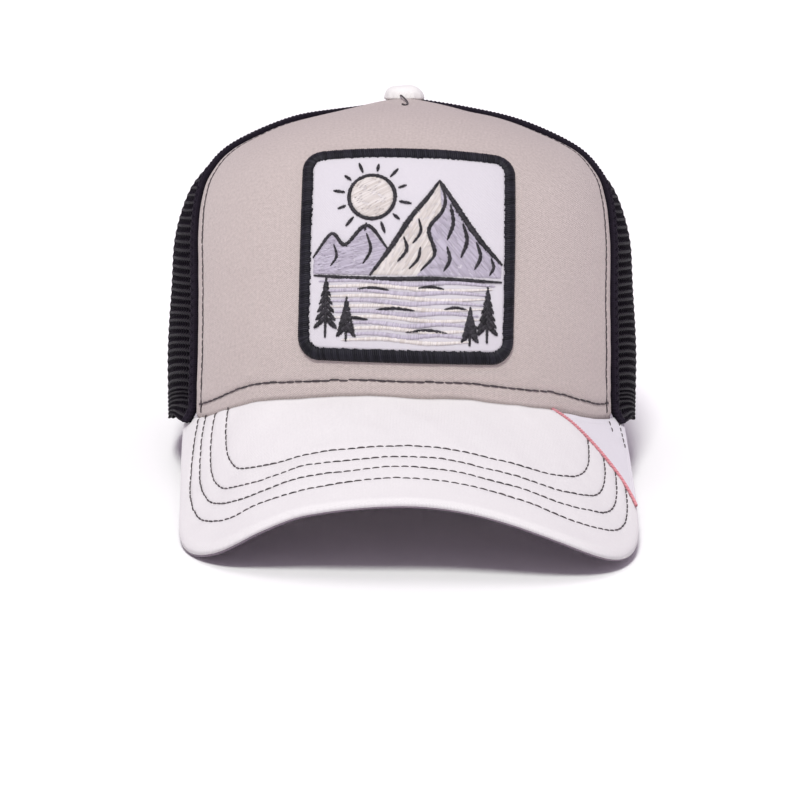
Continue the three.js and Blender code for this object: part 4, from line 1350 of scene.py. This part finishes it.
def arch_place(turn, inset):
    """Bearing and level of a point of the arch, from the rim at 0 to its top at 1."""
    power = 2 / ARCH["squareness"]
    across = ARCH["half_width"] * np.abs(np.cos(turn * math.pi / 2)) ** power
    up = ARCH["height"] * np.sin(turn * math.pi / 2) ** power
    steepness = ARCH["squareness"] - 1
    outward = unit(np.stack([across**steepness / ARCH["half_width"] ** ARCH["squareness"],
                             up**steepness / ARCH["height"] ** ARCH["squareness"]], -1))
    back = np.full(np.shape(turn), math.pi)
    level = level_above(back, np.maximum(up - inset * outward[..., 1], 0))
    return walk(back, level, inset * outward[..., 0] - across), level


def arch_binding():
    """Folded tape round the arch, stitched along its outer edge."""
    turn = np.linspace(0, 1, 130)
    turn = np.concatenate([turn, 2 - turn[-2::-1]])
    mirror = np.where(turn > 1, -1.0, 1.0)
    half = np.minimum(turn, 2 - turn)
    inset = np.linspace(-0.4, BINDING["width"], 14) + GAP
    bearing, level = arch_place(np.repeat(half[:, None], len(inset), 1), inset[None])
    soft = 1 - smooth(np.minimum(inset + 0.1, BINDING["width"] + GAP - inset), 0, 0.9)
    stitched = 0.22 * bump(inset - GAP - BINDING["stitch"], 0.35)
    out = BINDING["proud"] - 0.55 * soft**2 - stitched
    outer = on_crown(bearing, level, out[None] + 0 * level)
    inner = on_crown(bearing, level, -BINDING["depth"] + 0.3 * soft**2 + 0 * level)
    for face in (outer, inner):
        face[..., 0] *= mirror[:, None]
    around = arc_lengths(outer[:, 0])[:, None] + 0 * level
    return wall(outer, inner, np.stack([around, inset[None] + 0 * level, 0 * level], -1))


# Stitches

def dashes(line, normals, pitch, length, radius, seed, lift=0.0, drift=0.06):
    """Row of stitches along a line on a surface, each dipping into the cloth at its ends."""
    random = np.random.default_rng(seed)
    lengths = arc_lengths(line)
    count = int(lengths[-1] / pitch)
    middles = (np.arange(count) + 0.5) * lengths[-1] / count + random.normal(0, 0.05, count)
    share = np.linspace(-0.5, 0.5, 7)
    at = middles[:, None] + share[None] * length * (1 + random.normal(0, 0.06, (count, 1)))
    centres = np.stack([np.interp(at, lengths, line[:, k]) for k in range(3)], -1)
    above = unit(np.stack([np.interp(at, lengths, normals[:, k]) for k in range(3)], -1))
    beside, up = path_frames(centres, above)
    dip = radius * (0.75 - 1.5 * np.abs(2 * share) ** 3)
    slant = random.normal(0, drift, (count, 1)) + share[None] * 0.1
    centres = centres + up * (dip + lift)[None, :, None] + beside * slant[..., None]
    taper = np.array([0.6, 0.95, 1, 1, 1, 0.95, 0.6])
    size = radius * taper * (1 + random.normal(0, 0.05, (count, 1)))
    tone = random.uniform(0, 1, (count, 1)) + 0 * size
    cloth = np.stack([at, 0 * at, tone], -1)
    return strands(centres, beside, up, size * 1.1, size * 0.9, cloth)


PEAK_STITCH = {"pitch": 3.2, "length": 3.15, "radius": 0.25}
TAB_STITCH = {"pitch": 3.0, "length": 2.6, "radius": 0.2}
PANEL_EDGE = {"pitch": 2.6, "length": 3.15, "radius": 0.25, "lift": 0.08}
PANEL_HEM = {"pitch": 3.3, "length": 3.4, "radius": 0.29, "lift": 0.1, "drift": 0.1}
BAND_STITCH = {"pitch": 3.0, "length": 2.5, "radius": 0.24}
TAPE_STITCH = {"pitch": 2.8, "length": 2.3, "radius": 0.2}


def row_stitches(depth, swell, facing, seed):
    """Stitches along the peak's rows, at a depth below its upper face, on one side of it."""
    made = []
    for number in range(len(STITCH_ROWS)):
        x, forward = stitch_row(number).T
        points = on_peak(x, forward, depth - facing * swell(x, forward))
        made.append(dashes(points, facing * peak_normal(x, forward), seed=seed + number, **PEAK_STITCH))
    return join(made)


def peak_stitches():
    return row_stitches(0.2, peak_swell, 1, 300)


def lining_stitches():
    return row_stitches(PEAK["thickness"] + GAP + PEAK["underside"] - 0.15, lining_swell, -1, 310)


def tab_stitches():
    made = []
    for number, ends in enumerate(TAB_STITCHES):
        line = evenly(np.array(ends, float), 30)
        x = line[:, 0]
        forward = SECTIONS[0, 0] + line[:, 1] * math.cos(PEAK["pitch"])
        points = on_peak(x, forward, 0.05 + 0 * x)
        made.append(dashes(points, peak_normal(x, forward), seed=320 + number, **TAB_STITCH))
    return join(made)


def panel_edge_line(side):
    levels = np.linspace(0.05, 8.35, 400)
    bearing = walk(seam_bearing(levels), levels, -GAP / 2 - PANEL_EDGE_STITCH)
    out = panel_swell(side * bearing, levels) - 0.3
    return on_crown(side * bearing, levels, out), crown_normal(side * bearing, levels)


def panel_hem_line():
    bearing = radians(np.linspace(-56.8, 56.8, 500))
    height = np.interp(np.degrees(bearing), PANEL_HEM_BEARINGS, PANEL_HEM_HEIGHTS)
    height = np.convolve(np.pad(height, 30, mode="edge"), np.ones(61) / 61, "valid")
    level = level_above(bearing, height)
    return on_crown(bearing, level, panel_swell(bearing, level) - 0.2), crown_normal(bearing, level)


def panel_stitches():
    made = [dashes(*panel_edge_line(side), seed=330 + side, **PANEL_EDGE) for side in (-1, 1)]
    made.append(dashes(*panel_hem_line(), seed=333, **PANEL_HEM))
    return join(made)


# Place across the panel, distance below the top of the panel and height above it of a loose thread.
LOOSE_THREAD = np.array([
    (-1.0, 1.5, 0.9), (-0.7, 6.0, 1.4), (0.5, 11.0, 0.9), (1.4, 16.0, 0.4), (1.2, 20.0, 0.3),
    (0.3, 22.0, 0.3), (-0.6, 20.5, 0.4),
])


def loose_thread():
    """Short thread end that springs from the seam in front of the button and lies on the panel."""
    across, below, out = curve_through(LOOSE_THREAD).T
    level = np.interp(FRONT_CLIMBS[-1] - below, FRONT_CLIMBS, FRONT_LEVELS)
    bearing = walk(0 * level, level, across)
    points = on_crown(bearing, level, out + tent(level))
    beside, above = path_frames(points[None], crown_normal(bearing, level)[None])
    size = np.full((1, CURVE_POINTS), 0.34)
    cloth = flat_place(arc_lengths(points), 0) + np.array([0, 0, 0.3])
    return strands(points[None], beside, above, size, size, cloth[None])


def band_stitches():
    """Stitches along both edges of the sweatband, on its inner face."""
    made = []
    bearings = np.linspace(-SWEATBAND["end"], SWEATBAND["end"], 600)
    seams = (SWEATBAND["low_seam"], SWEATBAND["height"] - SWEATBAND["high_seam"])
    for number, seam in enumerate(seams):
        level = level_above(bearings, SWEATBAND["lift"] + seam)
        points = on_crown(bearings, level, -band_depth(bearings) - SWEATBAND["thickness"] + 0.35)
        made.append(dashes(points, -crown_normal(bearings, level), seed=340 + number, **BAND_STITCH))
    return join(made)


def binding_stitches():
    turn = np.linspace(0.02, 1, 200)
    bearing, level = arch_place(turn, GAP + BINDING["stitch"])
    half = on_crown(bearing, level, BINDING["proud"] - 0.2)
    normals = crown_normal(bearing, level)
    flip = np.array([-1, 1, 1])
    line, upright = (np.concatenate([rows, rows[-2::-1] * flip]) for rows in (half, normals))
    return dashes(line, upright, seed=350, **TAPE_STITCH)


# The pieces, each with its material and the solid that it stands for

def dress():
    black_thread = thread("black_thread", 0.4, 0.0, 0.2)
    # Some of its threads are made lighter: partly their own tone, partly painted glints.
    embroidery_black_tone_and_glints = thread("embroidery_black_tone_and_glints", 0.4, 0.0, 0.3)
    stitch_thread = thread("stitch_thread", 0.6)
    net = net_yarn("net_yarn")
    fold_yarn = net_yarn("fold_yarn")
    peak_cloth = woven("peak_cloth", 0.62, 0.05)
    black_cloth = woven("black_cloth", 0.6, 0.06, 0.9)
    panel_cloth = woven("panel_cloth", 0.62, 0.10, flecks=1.3, grain=0.4)
    piece("front_cloth", front_panel(), panel_cloth, "panel_cloth", "front_panel")
    for name, side in (("left", -1), ("right", 1)):
        piece(f"side_net_{name}", net_side(side, 10 + side), net, "net", f"mesh_side_{name}")
        piece(f"back_net_{name}", net_back(side, 14 + side), net, "net", f"mesh_back_{name}")
        piece(f"ribbed_fold_{name}", seam_fold(side), fold_yarn, "net_fold", f"seam_fold_{name}")
    piece("button_cover", button(), woven("button_cloth", 0.6, 0.05), "button_cloth", "button")
    piece("peak_cover", peak(), peak_cloth, "peak_cloth", "peak")
    # The lining's dark grey is painted shade, to deepen the shade under the peak.
    underside_cloth = woven("underside_cloth", 0.62, 0.05, 0.9, 0.1)
    piece("peak_lining", peak_underside(), underside_cloth, "underside_cloth", "peak_underside")
    piece("corner_cloth", corner_tab(), woven("tab_cloth", 0.5, 0.02, 0.7), "tab_cloth", "corner_tab")
    piping_thread = thread("piping_thread", 0.6, 0.2)
    piece("twisted_piping", corner_piping(), piping_thread, "piping", "corner_piping")
    piece("patch_twill", patch_field(), woven("patch_cloth", 0.5, 0.06, 0.6), "patch_cloth", "patch_field")
    piece("wound_border", patch_border(), black_thread, "patch_thread", "patch_border")
    piece("cream_embroidery", cream_threads(), thread("cream_thread", 0.4), "patch_cloth")
    piece("grey_embroidery", grey_threads(), thread("grey_thread", 0.4), "patch_cloth")
    piece("black_embroidery", black_threads(), embroidery_black_tone_and_glints, "patch_thread")
    piece("inner_band", sweatband(), black_cloth, "band_cloth", "sweatband")
    piece("arch_tape", arch_binding(), black_cloth, "binding_tape", "arch_binding")
    piece("moulded_strap", snap_strap(), moulded_plastic("strap_plastic"), "strap_plastic", "snap_strap")
    piece("panel_stitches", join([panel_stitches(), loose_thread()]), stitch_thread, "patch_thread")
    piece("peak_stitches", peak_stitches(), stitch_thread, "patch_thread")
    piece("lining_stitches", lining_stitches(), stitch_thread, "patch_thread")
    piece("tab_stitches", tab_stitches(), stitch_thread, "patch_thread")
    piece("band_stitches", band_stitches(), stitch_thread, "patch_thread")
    piece("tape_stitches", binding_stitches(), stitch_thread, "patch_thread")
    piece("seam_tape", seam_tapes(), black_cloth, "binding_tape")


# Floor, light and camera

AMBIENT = ((1.0, 0.84, 1.04), 0.464)
# Name, colour, strength, spread, tilt to the front and turn of each light, in degrees.
LIGHTS = (
    ("main_light", (0.965, 1.0, 0.945), 2.27, 12, 37, -9),
    ("overhead_light", (1.0, 1.0, 1.0), 0.49, 30, 8, -20),
)


# Half the width of the floor, in metres.
FLOOR_HALF = 40.0


def make_floor():
    half = FLOOR_HALF
    corners = [(-half, -half, 0), (half, -half, 0), (half, half, 0), (-half, half, 0)]
    mesh = bpy.data.meshes.new("floor")
    mesh.from_pydata(corners, [], [(0, 1, 2, 3)])
    material, tree, shader = new_material("floor_paper", 0.9, specular=0.1)
    place = add_node(tree, "ShaderNodeTexCoord").outputs["Object"]
    set_colour(tree, shader, mottle(tree, place, 3.0), (1.0, 1.0, 1.0), (1.0, 1.0, 1.0))
    mesh.materials.append(material)
    floor = bpy.data.objects.new("floor", mesh)
    bpy.context.scene.collection.objects.link(floor)


def make_light():
    world = bpy.data.worlds.new("studio")
    world.use_nodes = True
    colour, strength = AMBIENT
    world.node_tree.nodes["Background"].inputs["Color"].default_value = (*colour, 1.0)
    world.node_tree.nodes["Background"].inputs["Strength"].default_value = strength
    bpy.context.scene.world = world
    for name, colour, strength, spread, tilt, turn in LIGHTS:
        light = bpy.data.lights.new(name, "SUN")
        light.color = colour
        light.energy = strength
        light.angle = math.radians(spread)
        lamp = bpy.data.objects.new(name, light)
        lamp.rotation_euler = (math.radians(tilt), 0, math.radians(turn))
        bpy.context.scene.collection.objects.link(lamp)


# The camera looks down at the cap from the front. The point midway between the ears on the rim is
# the one that it turns about, and it shows at this pixel of the picture.
CAMERA = {"distance": 1400.0, "turn": -1.0, "rise": 15.2, "roll": 0.42, "scale": 2.703}
AIM_PIXEL = (401.5, 419.2)
PICTURE = 800


def make_camera():
    ears = crown_point(radians(np.array([-90.0, 90.0])), np.zeros(2)).mean(0)
    aim = Vector(to_part(ears))
    turn, rise = math.radians(CAMERA["turn"]), math.radians(CAMERA["rise"])
    back = Vector((math.sin(turn) * math.cos(rise), -math.cos(turn) * math.cos(rise), math.sin(rise)))
    data = bpy.data.cameras.new("camera")
    data.sensor_width = 36.0
    data.lens = CAMERA["scale"] * CAMERA["distance"] * data.sensor_width / PICTURE
    data.shift_x = (PICTURE / 2 - AIM_PIXEL[0]) / PICTURE
    data.shift_y = (AIM_PIXEL[1] - PICTURE / 2) / PICTURE
    data.clip_start = 0.05
    camera = bpy.data.objects.new("camera", data)
    spin = Matrix.Rotation(math.radians(CAMERA["roll"]), 4, "Z")
    facing = (-back).to_track_quat("-Z", "Y").to_matrix().to_4x4()
    camera.matrix_world = Matrix.Translation(aim + back * CAMERA["distance"] * MM) @ facing @ spin
    bpy.context.scene.collection.objects.link(camera)
    bpy.context.scene.camera = camera


make_camera()
make_floor()
make_light()
bpy.context.scene.view_settings.view_transform = "Standard"
dress()
